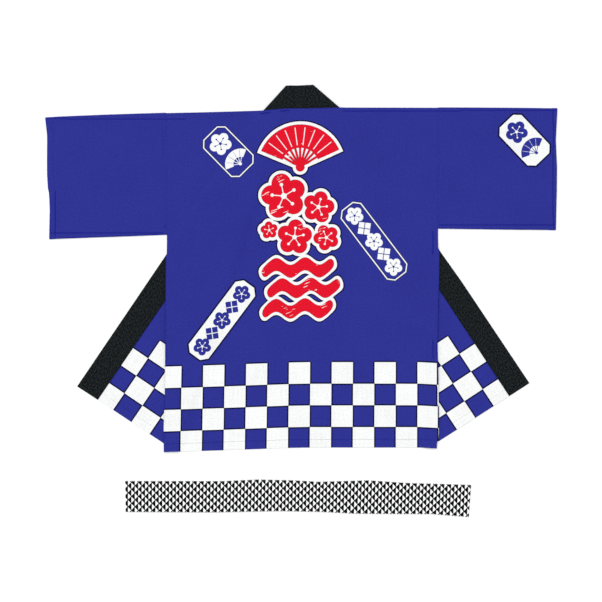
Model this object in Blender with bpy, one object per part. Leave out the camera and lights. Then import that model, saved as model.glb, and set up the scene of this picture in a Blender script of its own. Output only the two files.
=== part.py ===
"""A happi coat laid flat on its front, back uppermost, with its belt laid below the hem.

Each cut piece is its own closed wall of cloth: the back, two fronts, two sleeves, the
collar in three stretches and the belt. A front is sewn to the back at the side, lies under
it face down, is folded along a slanting line and comes out again past the body's side, face
up, with the collar along its edge. A sleeve is a tube pressed flat. The belt is a strip
doubled end to end.

Plan sizes are in millimetres, x to the right and y towards the collar, measured from the
middle of the hem. Heights are in millimetres above the surface that the coat lies on.
"""

import math
from collections import namedtuple

import bmesh
import bpy
from mathutils import Vector
from mathutils.geometry import delaunay_2d_cdt

# Thickness of the cloth, and the room between layers and at seams.
CLOTH = 1.0
BAND = 1.4
HEM = 1.4
GAP = 0.3

# Turned-up hems, and the slope where a hem's double cloth ends.
HEM_DEPTH = 20.0
HEM_STEP = 1.0

# How cloth comes down from what lies under it: over the collar's free edge, and past a fold.
EDGE_SLOPE = 14.0
FOLD_SLOPE = 26.0
FOLD_ROOM = 2.0
SLOPE_STEPS = 4

# Heights of the undersides that lie on other layers.
FRONT_OVER_COLLAR = BAND + GAP
BACK_OVER_FRONT = CLOTH + GAP
BACK_OVER_FOLD = FRONT_OVER_COLLAR + HEM + GAP

# Each half turn at a fold, in this many steps, and the rows across a sleeve and the belt.
FOLD_STEPS = 6
SLEEVE_ROWS = 10
SLEEVE_COLUMNS = 10
BELT_ROWS = 4
BELT_COLUMNS = 24

# How far along a sleeve its cuff's bow fades out, as a share of the sleeve.
CUFF_BOW = 0.5

# Plan points nearer than this are one, and a millimetre in Blender's metres.
MERGE = 0.001
MM = 0.001

COTTON_ROUGHNESS = 0.85

Point = namedtuple("Point", "x y")

# One half of the coat in the plan. outer: the way its outer side faces along x.
# neck: where shoulder and collar meet. collar_tip: top of the collar's slanting end.
# seam_fold: where the collar seam runs over the front's fold. fold_foot: the fold at the
# hem. band_outer, band_inner: corners of the collar's lower end. band_out, seam_out: where
# the collar's free edge and its seam come out past the body's side. hem_under: where the
# turned-out hem goes under the body. shoulder, side and hem run from the neck outwards,
# from the armhole down, and from the middle outwards. The sleeve's top and under edges run
# from the cuff to the body, and its cuff from the underarm side up.
Half = namedtuple(
    "Half",
    "name outer neck collar_tip seam_fold fold_foot band_outer band_inner band_out seam_out"
    " hem_under shoulder side hem sleeve_top sleeve_under cuff",
)

LEFT = Half(
    name="left",
    outer=-1,
    neck=Point(x=-89.6, y=791.9),
    collar_tip=Point(x=-36.3, y=850.3),
    seam_fold=Point(x=-87.0, y=691.4),
    fold_foot=Point(x=-301.7, y=-9.5),
    band_outer=Point(x=-527.4, y=143.6),
    band_inner=Point(x=-478.6, y=111.9),
    band_out=Point(x=-316.0, y=456.1),
    seam_out=Point(x=-316.0, y=350.9),
    hem_under=Point(x=-322.6, y=9.0),
    shoulder=(Point(x=-205.6, y=788.4),),
    side=(
        Point(x=-318.8, y=785.8),
        Point(x=-316.3, y=501.0),
        Point(x=-316.3, y=455.0),
        Point(x=-318.6, y=449.0),
        Point(x=-319.8, y=300.0),
        Point(x=-320.3, y=200.0),
        Point(x=-321.4, y=120.0),
        Point(x=-323.6, y=50.0),
        Point(x=-323.7, y=-10.6),
    ),
    hem=(Point(x=-31.7, y=-0.9), Point(x=-184.5, y=-6.4)),
    sleeve_top=(
        Point(x=-602.3, y=774.3),
        Point(x=-572.2, y=776.7),
        Point(x=-459.4, y=781.6),
        Point(x=-319.1, y=785.8),
    ),
    sleeve_under=(
        Point(x=-592.9, y=490.9),
        Point(x=-478.2, y=494.9),
        Point(x=-316.6, y=501.0),
    ),
    cuff=(
        Point(x=-592.9, y=490.9),
        Point(x=-591.6, y=560.0),
        Point(x=-592.6, y=585.0),
        Point(x=-593.6, y=600.0),
        Point(x=-595.9, y=609.0),
        Point(x=-597.9, y=642.0),
        Point(x=-598.0, y=680.0),
        Point(x=-597.6, y=732.0),
        Point(x=-602.3, y=774.3),
    ),
)

RIGHT = Half(
    name="right",
    outer=1,
    neck=Point(x=89.4, y=799.0),
    collar_tip=Point(x=27.8, y=852.2),
    seam_fold=Point(x=87.0, y=717.2),
    fold_foot=Point(x=306.3, y=-1.5),
    band_outer=Point(x=535.9, y=151.4),
    band_inner=Point(x=488.1, y=120.6),
    band_out=Point(x=324.3, y=463.5),
    seam_out=Point(x=326.7, y=366.1),
    hem_under=Point(x=318.5, y=12.0),
    shoulder=(Point(x=273.8, y=798.5),),
    side=(
        Point(x=320.8, y=798.3),
        Point(x=320.8, y=515.4),
        Point(x=320.8, y=470.0),
        Point(x=324.2, y=462.0),
        Point(x=323.8, y=408.0),
        Point(x=322.4, y=366.0),
        Point(x=319.4, y=248.0),
        Point(x=320.1, y=212.0),
        Point(x=321.6, y=170.0),
        Point(x=322.5, y=80.0),
        Point(x=322.6, y=20.0),
        Point(x=318.3, y=12.0),
        Point(x=317.7, y=-2.1),
    ),
    hem=(Point(x=20.0, y=0.0), Point(x=278.5, y=0.0)),
    sleeve_top=(
        Point(x=601.4, y=796.2),
        Point(x=499.4, y=797.6),
        Point(x=321.1, y=798.3),
    ),
    sleeve_under=(
        Point(x=597.8, y=512.2),
        Point(x=460.0, y=513.4),
        Point(x=321.1, y=515.4),
    ),
    cuff=(
        Point(x=597.8, y=512.2),
        Point(x=600.0, y=609.8),
        Point(x=600.4, y=660.0),
        Point(x=597.6, y=722.6),
        Point(x=601.4, y=796.2),
    ),
)

# The back's neck edge between the two neck points.
NECKLINE = (Point(x=-36.0, y=797.0), Point(x=48.0, y=797.5))

# The belt's two long edges, from its folded end on the left to its open end.
BELT_TOP = (
    Point(x=-413.1, y=-79.0),
    Point(x=-186.8, y=-79.2),
    Point(x=-102.2, y=-75.4),
    Point(x=-17.6, y=-77.3),
    Point(x=41.1, y=-80.8),
    Point(x=156.3, y=-77.3),
    Point(x=245.6, y=-83.4),
    Point(x=398.3, y=-88.1),
)
BELT_FOOT = (
    Point(x=-412.2, y=-151.1),
    Point(x=-203.3, y=-152.3),
    Point(x=-52.9, y=-149.2),
    Point(x=48.2, y=-151.1),
    Point(x=125.7, y=-155.3),
    Point(x=306.7, y=-156.3),
    Point(x=392.9, y=-163.1),
)

# The coat's origin is the middle of all that is laid out.
CENTRE = Vector(
    (
        (LEFT.sleeve_top[0].x + RIGHT.sleeve_top[0].x) / 2,
        (RIGHT.collar_tip.y + BELT_FOOT[-1].y) / 2,
    )
)

COLOURS = {
    "blue_cotton": (49, 53, 147),
    "black_cotton": (28, 33, 34),
    "belt_cotton": (120, 120, 122),
}


# Plan geometry


def along(path, share):
    """The point at a share of a polyline's length."""
    points = [Vector(point) for point in path]
    lengths = [(end - start).length for start, end in zip(points, points[1:])]
    left = share * sum(lengths)
    for start, end, length in zip(points, points[1:], lengths):
        if left <= length:
            return start.lerp(end, left / length)
        left -= length
    return points[-1]


def left_normal(start, end):
    run = (Vector(end) - Vector(start)).normalized()
    return Vector((-run.y, run.x))


def parallel(path, distance):
    """A polyline moved to its left by a distance, mitred at its corners."""
    points = [Vector(point) for point in path]
    normals = [left_normal(start, end) for start, end in zip(points, points[1:])]
    moved = [points[0] + normals[0] * distance]
    for point, before, after in zip(points[1:], normals, normals[1:]):
        middle = (before + after).normalized()
        moved.append(point + middle * distance / middle.dot(before))
    moved.append(points[-1] + normals[-1] * distance)
    return moved


def left_of(point, path):
    """How far a point lies to the left of a polyline, less than nothing on its right."""
    nearest = math.inf
    side = 1.0
    for start, end in zip(path, path[1:]):
        start, end = Vector(start), Vector(end)
        run = end - start
        share = min(max((point - start).dot(run) / run.length_squared, 0.0), 1.0)
        away = (point - start - run * share).length
        if away < nearest:
            nearest = away
            side = left_normal(start, end).dot(point - start)
    return math.copysign(nearest, side)


def lengthened(path, extra):
    """A polyline run on past both ends."""
    points = [Vector(point) for point in path]
    first = points[0] + (points[0] - points[1]).normalized() * extra
    last = points[-1] + (points[-1] - points[-2]).normalized() * extra
    return [first, *points[1:-1], last]


def crossing(start, end, other_start, other_end):
    """Where two straight lines cross, run on as far as they need."""
    run = Vector(end) - Vector(start)
    normal = left_normal(other_start, other_end)
    share = (Vector(other_start) - Vector(start)).dot(normal) / run.dot(normal)
    return Vector(start) + run * share


def is_inside(point, outline):
    """Whether a point lies inside a closed outline."""
    inside = False
    for start, end in zip(outline, [*outline[1:], outline[0]]):
        if (start[1] > point.y) != (end[1] > point.y):
            rise = (point.y - start[1]) / (end[1] - start[1])
            if point.x < start[0] + rise * (end[0] - start[0]):
                inside = not inside
    return inside


def falling(share):
    """From 1 to 0 as the share goes from 0 to 1, level at both ends."""
    share = min(max(share, 0.0), 1.0)
    return 1.0 - share * share * (3.0 - 2.0 * share)


# Lines of one half of the coat, all from the top down. The left of such a line is the
# outer side on the right half and the inner side on the left half, hence half.outer.


def free_edge(half):
    """The collar's free edge, which the layers above step over."""
    return lengthened((half.neck, half.band_out, half.band_outer), 60.0)


def fold_path(half):
    """The fold of the collar and the front, run on past its ends."""
    return lengthened((half.collar_tip, half.seam_fold, half.fold_foot), 30.0)


def beyond(point, path, half):
    """How far a point lies on the outer side of one of these lines."""
    return half.outer * left_of(point, path)


def slope_lines(path, room, width):
    """Lines beside a path, from room on its left, that bend a slope of a given width."""
    steps = range(SLOPE_STEPS + 1)
    sense = math.copysign(1.0, width)
    return [parallel(path, sense * room + width * step / SLOPE_STEPS) for step in steps]


def free_edge_slope(half):
    return slope_lines(free_edge(half), 0.0, half.outer * EDGE_SLOPE)


def fold_slope(half):
    return slope_lines(fold_path(half), FOLD_ROOM, -half.outer * FOLD_SLOPE)


# Heights of undersides


def front_height(point, half):
    """A front's underside: on the surface, and up over the collar and its own other half."""
    return FRONT_OVER_COLLAR * falling(beyond(point, free_edge(half), half) / EDGE_SLOPE)


def height_over_half(point, half):
    """The underside of the back or the collar over one half's fronts and folds."""
    past_fold = -beyond(point, fold_path(half), half) - FOLD_ROOM
    if past_fold > 0.0:
        return BACK_OVER_FOLD * falling(past_fold / FOLD_SLOPE)
    step = falling(beyond(point, free_edge(half), half) / EDGE_SLOPE)
    return BACK_OVER_FRONT + (BACK_OVER_FOLD - BACK_OVER_FRONT) * step


def top_layer_height(point):
    """The underside of what lies on top: the back, and the collar at the neck."""
    return max(height_over_half(point, LEFT), height_over_half(point, RIGHT))


def on_surface(_point):
    return 0.0


# Walls of cloth


def triangulate(outline, creases):
    """Plan points and triangles of an outline, with an edge along every crease in it."""
    points = [Vector(point) for point in outline]
    edges = [(index, (index + 1) % len(points)) for index in range(len(points))]
    for crease in creases:
        first = len(points)
        points.extend(Vector(point) for point in crease)
        edges.extend((index, index + 1) for index in range(first, len(points) - 1))
    found = delaunay_2d_cdt(points, edges, [], 0, MERGE)
    plan, triangles = found[0], found[2]
    kept = []
    for triangle in triangles:
        middle = sum((plan[index] for index in triangle), Vector((0.0, 0.0))) / 3
        if is_inside(middle, outline):
            kept.append(tuple(triangle))
    return plan, kept


def in_space(point, height):
    """A plan point at a height, in metres."""
    return Vector((point.x, point.y, height)) * MM


def rim(triangles):
    """The edges that only one triangle has, each in its triangle's order."""
    edges = [
        (triangle[corner], triangle[(corner + 1) % 3])
        for triangle in triangles
        for corner in range(3)
    ]
    both = set(edges)
    return [edge for edge in edges if edge[::-1] not in both]


def add_leaf(wall, sheet, underside, thickness, fold=None):
    """One layer of cloth. Its rim is closed except along a fold; returns the fold's ends."""
    plan, triangles = sheet
    used = sorted({index for triangle in triangles for index in triangle})
    low, high = {}, {}
    for index in used:
        height = underside(plan[index])
        low[index] = wall.verts.new(in_space(plan[index], height))
        high[index] = wall.verts.new(in_space(plan[index], height + thickness(plan[index])))
    for a, b, c in triangles:
        wall.faces.new((low[c], low[b], low[a]))
        wall.faces.new((high[a], high[b], high[c]))
    folded = {index for index in used if fold and on_line(plan[index], fold)}
    for a, b in rim(triangles):
        if a in folded and b in folded:
            continue
        wall.faces.new((low[a], low[b], high[b], high[a]))
    order = sorted(folded, key=lambda index: (plan[index] - Vector(fold[0])).length)
    return [(plan[index], low[index], high[index]) for index in order]


def on_line(point, line):
    start, end = Vector(line[0]), Vector(line[1])
    share = (point - start).dot(end - start) / (end - start).length_squared
    return -1e-6 < share < 1 + 1e-6 and abs(left_normal(start, end).dot(point - start)) < 1e-3


def fold_arc(wall, point, sideways, start, end):
    """New vertices of a half turn between two vertices above each other."""
    foot, top = start.co.z / MM, end.co.z / MM
    radius = (top - foot) / 2
    arc = [start]
    for step in range(1, FOLD_STEPS):
        turn = math.pi * step / FOLD_STEPS
        place = point + sideways * radius * math.sin(turn)
        arc.append(wall.verts.new(in_space(place, foot + radius * (1 - math.cos(turn)))))
    return [*arc, end]


def join_at_fold(wall, lower, upper, sideways):
    """The half turn that joins two leaves along their fold."""
    previous = None
    for (point, low, low_top), (_, high_foot, high) in zip(lower, upper):
        outer = fold_arc(wall, point, sideways, low, high)
        inner = fold_arc(wall, point, sideways, low_top, high_foot)
        if previous is None:
            strip(wall, outer, inner)
        else:
            strip(wall, previous[0], outer)
            strip(wall, previous[1], inner)
        previous = outer, inner
    strip(wall, *previous)


def strip(wall, one, other):
    """Quads between two rows of vertices."""
    for a, b, c, d in zip(one, one[1:], other[1:], other):
        wall.faces.new((a, b, c, d))


def finish(name, wall, material, coat):
    """The named object of a wall, on its parent."""
    bmesh.ops.recalc_face_normals(wall, faces=wall.faces)
    mesh = bpy.data.meshes.new(name)
    wall.to_mesh(mesh)
    wall.free()
    mesh.materials.append(material)
    piece = bpy.data.objects.new(name, mesh)
    piece.parent = coat
    bpy.context.scene.collection.objects.link(piece)
    return piece


def fold_points(sheets, fold):
    """The places along a fold where a crease of either leaf meets it."""
    start = Vector(fold[0])
    places = sorted(
        ((point - start).length, tuple(point))
        for plan, _ in sheets
        for point in plan
        if on_line(point, fold)
    )
    kept = []
    for place in places:
        if not kept or place[0] - kept[-1][0] > MERGE * 10:
            kept.append(place)
    return [point for _, point in kept][1:-1]


def folded_wall(fold, sideways, lower, upper):
    """Two leaves joined by a half turn. A leaf is (outline, creases, underside, thickness).

    Each outline begins at the fold's first end and closes along the fold.
    """
    leaves = (lower, upper)
    between = fold_points([triangulate(leaf[0], leaf[1]) for leaf in leaves], fold)
    wall = bmesh.new()
    ends = []
    for outline, creases, underside, thickness in leaves:
        closed = [*outline, *reversed(between)]
        ends.append(add_leaf(wall, triangulate(closed, creases), underside, thickness, fold))
    join_at_fold(wall, *ends, sideways)
    return wall


def hemmed(hem):
    """The thickness of a panel with a turned-up hem along a line."""

    def thickness(point):
        return HEM if abs(left_of(point, hem)) < HEM_DEPTH + HEM_STEP / 2 else CLOTH

    return thickness


def hem_lines(hem, inwards):
    """Where the hem's double cloth ends, and where its step has come down."""
    line = lengthened(hem, HEM_DEPTH)
    return [parallel(line, inwards * depth) for depth in (HEM_DEPTH, HEM_DEPTH + HEM_STEP)]


def grid_wall(sections, closed):
    """A wall lofted through sections, each a list of (outer, inner) points in order."""
    wall = bmesh.new()
    rows = []
    for section in sections:
        outer = [wall.verts.new(point) for point, _ in section]
        inner = [wall.verts.new(point) for _, point in section]
        rows.append((outer, inner))
    if closed:
        rows = [([*outer, outer[0]], [*inner, inner[0]]) for outer, inner in rows]
    for (outer, inner), (next_outer, next_inner) in zip(rows, rows[1:]):
        strip(wall, outer, next_outer)
        strip(wall, inner, next_inner)
        if not closed:
            for end in (0, -1):
                corners = outer[end], next_outer[end], next_inner[end], inner[end]
                wall.faces.new(corners)
    for outer, inner in (rows[0], rows[-1]):
        strip(wall, outer, inner)
    return wall


def turn_section(point, sideways, rising):
    """The (outer, inner) points of a half turn between two layers of cloth."""
    middle = CLOTH + GAP / 2
    steps = range(1, FOLD_STEPS) if rising else range(FOLD_STEPS - 1, 0, -1)
    section = []
    for step in steps:
        turn = math.pi * step / FOLD_STEPS
        pair = []
        for radius in (middle, GAP / 2):
            place = point + sideways * radius * math.sin(turn)
            pair.append(in_space(place, middle - radius * math.cos(turn)))
        section.append(tuple(pair))
    return section


def layer_section(points, upper):
    """The (outer, inner) points of one of two layers of cloth."""
    if upper:
        heights = 2 * CLOTH + GAP, CLOTH + GAP
    else:
        heights = 0.0, CLOTH
    return [tuple(in_space(point, height) for height in heights) for point in points]


# The pieces


def back(coat, material):
    outline = [
        LEFT.neck,
        *LEFT.shoulder,
        *LEFT.side,
        *reversed(LEFT.hem),
        *RIGHT.hem,
        *reversed(RIGHT.side),
        *reversed(RIGHT.shoulder),
        RIGHT.neck,
        *reversed(NECKLINE),
    ]
    hem = [LEFT.side[-1], *reversed(LEFT.hem), *RIGHT.hem, RIGHT.side[-1]]
    creases = hem_lines(hem, 1)
    for half in (LEFT, RIGHT):
        creases += free_edge_slope(half) + fold_slope(half)
    wall = bmesh.new()
    add_leaf(wall, triangulate(outline, creases), top_layer_height, hemmed(hem))
    return finish("back", wall, material, coat)


def front(coat, material, half):
    """Sewn to the back at the side, folded along a slanting line and turned out."""
    hem = [half.side[-1], half.fold_foot]
    turned_hem = [half.band_inner, half.hem_under, half.fold_foot]
    under_back = (
        [half.seam_fold, half.neck, *half.shoulder, *half.side, half.fold_foot],
        free_edge_slope(half) + hem_lines(hem, -half.outer),
        lambda point: front_height(point, half),
        hemmed(hem),
    )
    turned_out = (
        [half.seam_fold, half.seam_out, half.band_inner, half.hem_under, half.fold_foot],
        hem_lines(turned_hem, -half.outer),
        on_surface,
        hemmed(turned_hem),
    )
    fold = (half.seam_fold, half.fold_foot)
    sideways = left_normal(*fold) * -half.outer
    wall = folded_wall(fold, sideways, turned_out, under_back)
    return finish(f"front_{half.name}", wall, material, coat)


def collar_front(coat, material, half):
    """The collar along a front's edge, folded with it."""
    seam = parallel((half.seam_fold, half.seam_out, half.band_inner), half.outer * GAP)
    seam_fold = crossing(seam[0], seam[1], half.seam_fold, half.collar_tip)
    neck = Vector(half.neck) - Vector((half.outer * GAP, 0.0))
    turned_out = (
        [seam_fold, *seam[1:], half.band_outer, half.band_out, half.neck, half.collar_tip],
        [],
        on_surface,
        lambda _point: BAND,
    )
    under_back = (
        [seam_fold, neck, half.collar_tip],
        [],
        lambda _point: FRONT_OVER_COLLAR,
        lambda _point: BAND,
    )
    fold = (seam_fold, half.collar_tip)
    sideways = left_normal(*fold) * half.outer
    wall = folded_wall(fold, sideways, turned_out, under_back)
    return finish(f"collar_{half.name}", wall, material, coat)


def collar_neck(coat, material):
    """The collar above the back's neck edge, between its two slanting ends."""
    edge = parallel([LEFT.neck, *NECKLINE, RIGHT.neck], GAP)
    outline = [*edge, RIGHT.collar_tip, LEFT.collar_tip]
    creases = [line for half in (LEFT, RIGHT) for line in fold_slope(half)]
    wall = bmesh.new()
    sheet = triangulate(outline, creases)
    add_leaf(wall, sheet, top_layer_height, lambda _point: BAND)
    return finish("collar_neck", wall, material, coat)


def sleeve(coat, material, half):
    """A tube pressed flat, open at the cuff and at the armhole."""
    clear = Vector((half.outer * GAP, 0.0))
    armhole = [Vector(half.side[1]) + clear, Vector(half.side[0]) + clear]
    under = [*half.sleeve_under[:-1], armhole[0]]
    top = [*half.sleeve_top[:-1], armhole[1]]
    sections = []
    for column in range(SLEEVE_COLUMNS + 1):
        share = column / SLEEVE_COLUMNS
        foot, head = along(under, share), along(top, share)
        points = []
        for row in range(SLEEVE_ROWS + 1):
            rise = row / SLEEVE_ROWS
            bow = along(half.cuff, rise) - Vector(half.cuff[0]).lerp(half.cuff[-1], rise)
            points.append(foot.lerp(head, rise) + bow * falling(share / CUFF_BOW))
        up = (head - foot).normalized()
        sections.append(
            [
                *layer_section(points, upper=False),
                *turn_section(head, up, rising=True),
                *layer_section(reversed(points), upper=True),
                *turn_section(foot, -up, rising=False),
            ]
        )
    return finish(f"sleeve_{half.name}", grid_wall(sections, closed=True), material, coat)


def belt(coat, material):
    """A strip of cloth doubled end to end, folded at its left end."""
    sections = []
    for row in range(BELT_ROWS + 1):
        across = row / BELT_ROWS
        points = []
        for column in range(BELT_COLUMNS + 1):
            share = column / BELT_COLUMNS
            points.append(along(BELT_TOP, share).lerp(along(BELT_FOOT, share), across))
        sections.append(
            [
                *layer_section(reversed(points), upper=False),
                *turn_section(points[0], Vector((-1.0, 0.0)), rising=True),
                *layer_section(points, upper=True),
            ]
        )
    return finish("belt", grid_wall(sections, closed=False), material, coat)


def linear(channel):
    """A display colour channel, 0 to 255, as a linear share."""
    share = channel / 255
    return share / 12.92 if share <= 0.04045 else ((share + 0.055) / 1.055) ** 2.4


def cotton(name):
    material = bpy.data.materials.new(name)
    material.use_nodes = True
    shader = material.node_tree.nodes["Principled BSDF"]
    shader.inputs["Base Color"].default_value = (*map(linear, COLOURS[name]), 1.0)
    shader.inputs["Roughness"].default_value = COTTON_ROUGHNESS
    shader.inputs["Metallic"].default_value = 0.0
    return material


def main():
    for leftover in list(bpy.data.objects):
        bpy.data.objects.remove(leftover)
    coat = bpy.data.objects.new("happi_coat", None)
    coat.location = in_space(-CENTRE, 0.0)
    bpy.context.scene.collection.objects.link(coat)
    blue, black, printed = (cotton(name) for name in COLOURS)
    back(coat, blue)
    for half in (LEFT, RIGHT):
        front(coat, blue, half)
        sleeve(coat, blue, half)
        collar_front(coat, black, half)
    collar_neck(coat, black)
    belt(coat, printed)


main()
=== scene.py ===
"""Cloth, prints and stitching of a happi coat laid flat, back uppermost, with its belt.

Each cut piece of the coat is one closed shell of cloth over its solid. Plan sizes are in
millimetres, x to the right and y towards the collar, measured from the middle of the hem,
and heights in millimetres above the surface that the coat lies on.
"""

import math
from collections import namedtuple
from functools import partial, reduce
from types import SimpleNamespace

import bmesh
import bpy
import numpy as np
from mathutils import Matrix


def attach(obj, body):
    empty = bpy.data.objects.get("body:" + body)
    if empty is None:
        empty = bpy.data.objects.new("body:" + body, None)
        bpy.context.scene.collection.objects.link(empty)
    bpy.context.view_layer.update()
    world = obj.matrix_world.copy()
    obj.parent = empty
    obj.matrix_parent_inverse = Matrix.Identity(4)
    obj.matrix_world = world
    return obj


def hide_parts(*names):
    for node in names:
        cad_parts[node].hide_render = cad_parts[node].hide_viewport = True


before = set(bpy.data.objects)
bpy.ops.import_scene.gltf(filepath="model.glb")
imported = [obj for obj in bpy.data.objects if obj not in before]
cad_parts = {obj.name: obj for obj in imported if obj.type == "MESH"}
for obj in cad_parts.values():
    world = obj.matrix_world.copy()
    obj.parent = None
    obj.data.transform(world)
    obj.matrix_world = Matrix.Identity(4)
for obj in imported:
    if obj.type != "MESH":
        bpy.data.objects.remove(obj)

bl_info = {
    "name": "Happi coat",
    "version": (1, 0, 0),
    "blender": (4, 5, 0),
    "location": "3D View > Sidebar > Happi coat",
    "description": "Cloth, prints and stitching of a happi coat laid flat with its belt",
    "category": "Object",
}

MM = 0.001

# Heights of the layers, as in the solids: what lies over the turned-out fronts, over the
# fold, and over the collar, and how the cloth slopes down from them.
LAYER = 1.0
BAND = 1.4
GAP = 0.3
HEM = 1.4
EDGE_SLOPE = 14.0
FOLD_SLOPE = 26.0
FOLD_ROOM = 2.0
FRONT_OVER_COLLAR = BAND + GAP
BACK_OVER_FRONT = LAYER + GAP
BACK_OVER_FOLD = FRONT_OVER_COLLAR + HEM + GAP

# One half of the coat in the plan: corners, outlines from the top down or from the middle
# out, the sleeve's outline, and then lines of stitches and pressed lines on that half.
LEFT = SimpleNamespace(
    name="left",
    outer=-1,
    neck=(-89.6, 791.9),
    collar_tip=(-36.3, 850.3),
    seam_fold=(-87.0, 691.4),
    fold_foot=(-301.7, -9.5),
    band_outer=(-527.4, 143.6),
    band_inner=(-478.6, 111.9),
    band_out=(-316.0, 456.1),
    band_bow=(),
    seam_out=(-316.0, 350.9),
    hem_under=(-322.6, 9.0),
    shoulder=((-205.6, 788.4),),
    side=(
        (-318.8, 785.8), (-316.3, 501.0), (-316.3, 455.0), (-318.6, 449.0), (-319.8, 300.0),
        (-320.3, 200.0), (-321.4, 120.0), (-323.6, 50.0), (-323.7, -10.6),
    ),
    hem=((-31.7, -0.9), (-184.5, -6.4)),
    sleeve_top=((-602.3, 774.3), (-572.2, 776.7), (-459.4, 781.6), (-319.1, 785.8)),
    sleeve_under=((-592.9, 490.9), (-478.2, 494.9), (-316.6, 501.0)),
    cuff=(
        (-592.9, 490.9), (-591.6, 560.0), (-592.6, 585.0), (-593.6, 600.0), (-595.9, 609.0),
        (-597.9, 642.0), (-598.0, 680.0), (-597.6, 732.0), (-602.3, 774.3),
    ),
    underarm_line=((-591.0, 504.3), (-322.0, 504.3)),
    cuff_line=((-578.9, 494.0), (-578.9, 603.0)),
    armhole_lines=(((-322.4, 524.0), (-322.7, 550.0)), ((-324.8, 676.0), (-327.6, 764.0))),
    tacks=(((-323.6, 520.2), (-318.0, 519.0)),),
    sleeve_labels=(),
)
RIGHT = SimpleNamespace(
    name="right",
    outer=1,
    neck=(89.4, 799.0),
    collar_tip=(27.8, 852.2),
    seam_fold=(87.0, 717.2),
    fold_foot=(306.3, -1.5),
    band_outer=(535.9, 151.4),
    band_inner=(488.1, 120.6),
    band_out=(324.3, 463.5),
    band_bow=((377.2, 388.9),),
    seam_out=(326.7, 366.1),
    hem_under=(318.5, 12.0),
    shoulder=((273.8, 798.5),),
    side=(
        (320.8, 798.3), (320.8, 515.4), (320.8, 470.0), (324.2, 462.0), (323.8, 408.0),
        (322.4, 366.0), (319.4, 248.0), (320.1, 212.0), (321.6, 170.0), (322.5, 80.0),
        (322.6, 20.0), (318.3, 12.0), (317.7, -2.1),
    ),
    hem=((20.0, 0.0), (278.5, 0.0)),
    sleeve_top=((601.4, 796.2), (499.4, 797.6), (321.1, 798.3)),
    sleeve_under=((597.8, 512.2), (460.0, 513.4), (321.1, 515.4)),
    cuff=((597.8, 512.2), (600.0, 609.8), (600.4, 660.0), (597.6, 722.6), (601.4, 796.2)),
    underarm_line=((322.0, 523.1), (599.0, 523.1)),
    cuff_line=(
        (592.4, 513.0), (592.4, 541.0), (590.8, 544.0), (590.8, 702.0),
        (592.3, 706.0), (592.3, 760.0), (590.7, 764.0), (590.7, 794.0),
    ),
    armhole_lines=(((323.0, 518.0), (323.0, 552.0)),),
    tacks=(),
    sleeve_labels=(((524.1, 722.2), 43.5, (0.0359, 0.062), True),),
)

# The back's neck, top edge and hem, from left to right.
NECK_EDGE = (LEFT.neck, (-36.0, 797.0), (48.0, 797.5), RIGHT.neck)
BACK_TOP = (LEFT.side[0], *LEFT.shoulder, *NECK_EDGE, *RIGHT.shoulder, RIGHT.side[0])
BACK_HEM = (LEFT.side[-1], *reversed(LEFT.hem), *RIGHT.hem, RIGHT.side[-1])

BELT_TOP = (
    (-413.1, -79.0), (-186.8, -79.2), (-102.2, -75.4), (-17.6, -77.3),
    (41.1, -80.8), (156.3, -77.3), (245.6, -83.4), (398.3, -88.1),
)
BELT_FOOT = (
    (-412.2, -151.1), (-203.3, -152.3), (-52.9, -149.2), (48.2, -151.1),
    (125.7, -155.3), (306.7, -156.3), (392.9, -163.1),
)

# The middle of all that is laid out is the frame's origin.
CENTRE = (
    (LEFT.sleeve_top[0][0] + RIGHT.sleeve_top[0][0]) / 2,
    (RIGHT.collar_tip[1] + BELT_FOOT[-1][1]) / 2,
)

# Hems: where they are stitched, and how far their cloth is turned up. There the cloth is
# thicker by a share of a layer, down to one layer over a short step.
STITCHED_HEM = 19.0
TURNED_HEM = 20.5
CUFF_HEM = 13.0
HEM_EXTRA = 0.7
HEM_STEP = 0.9

# How much finer the thread of the fronts' hems is.
FRONT_THREAD = 0.7

# The width of the folded collar, and how far its stitches are inside its sewn edge.
BAND_WIDTH = 56.0
COLLAR_STITCH = 2.4

# How far each piece is held off what it lies on, so that its waves clear it, and over what
# width the waves of what lies under the back fade out towards it.
CLOTH_LIFT = 0.35
BAND_LIFT = 0.15
NECK_LIFT = 0.1
BELT_LIFT = 0.2
SHOWN_SLOPE = 25.0

# Pressed lines of the back and the sleeves, dented and given painted shade: below the top
# edge, on both sides of the neck; under the neck. Lines of painted shade alone inside the
# right side, and painted shadow where the sides lie close over white squares.
SHOULDER_CREASES = (
    ((-598.0, 774.3), (-566.0, 774.3), (-550.0, 771.8), (-270.0, 771.8)),
    ((96.0, 790.6), (370.0, 790.6), (378.0, 792.2), (600.0, 792.2)),
)
NECK_CREASES = (((-98.0, 784.5), (-72.0, 787.0)), ((-52.0, 790.0), (-28.0, 792.3)))
SIDE_LINES = (((308.6, 509.0), (308.6, 452.0)), ((308.6, 254.0), (308.6, 207.0)))
SHADED_SIDES = (((-319.4, 246.0), (-319.6, 200.0)), ((318.8, 247.0), (319.2, 207.0)))

# Relief of the cloth in millimetres, at a slack of 1 mm: the height of each piece's broad
# waves, the height of puckers and how far they reach, and the depth and width of dents.
BACK_WAVES = 0.3
FRONT_WAVES = 0.3
SLEEVE_WAVES = 0.32
BAND_WAVES = 0.15
BELT_WAVES = 0.2
HEM_PUCKER = (0.13, 5.0)
CUFF_PUCKER = (0.13, 16.0)
SEAM_PUCKER = (0.1, 6.0)
TOP_PUCKER = (0.12, 5.0)
SHOULDER_DENT = (0.15, 1.4)
NECK_DENT = (0.45, 1.2)
HEM_DENT = (0.3, 1.0)
STITCH_DENT = (0.12, 1.1)
COLLAR_DENT = (0.3, 1.5)

# How far a pressed line runs past its ends, and over what length it fades out there.
FADE_PAST = 2.0
FADE_LENGTH = 6.0
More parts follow.
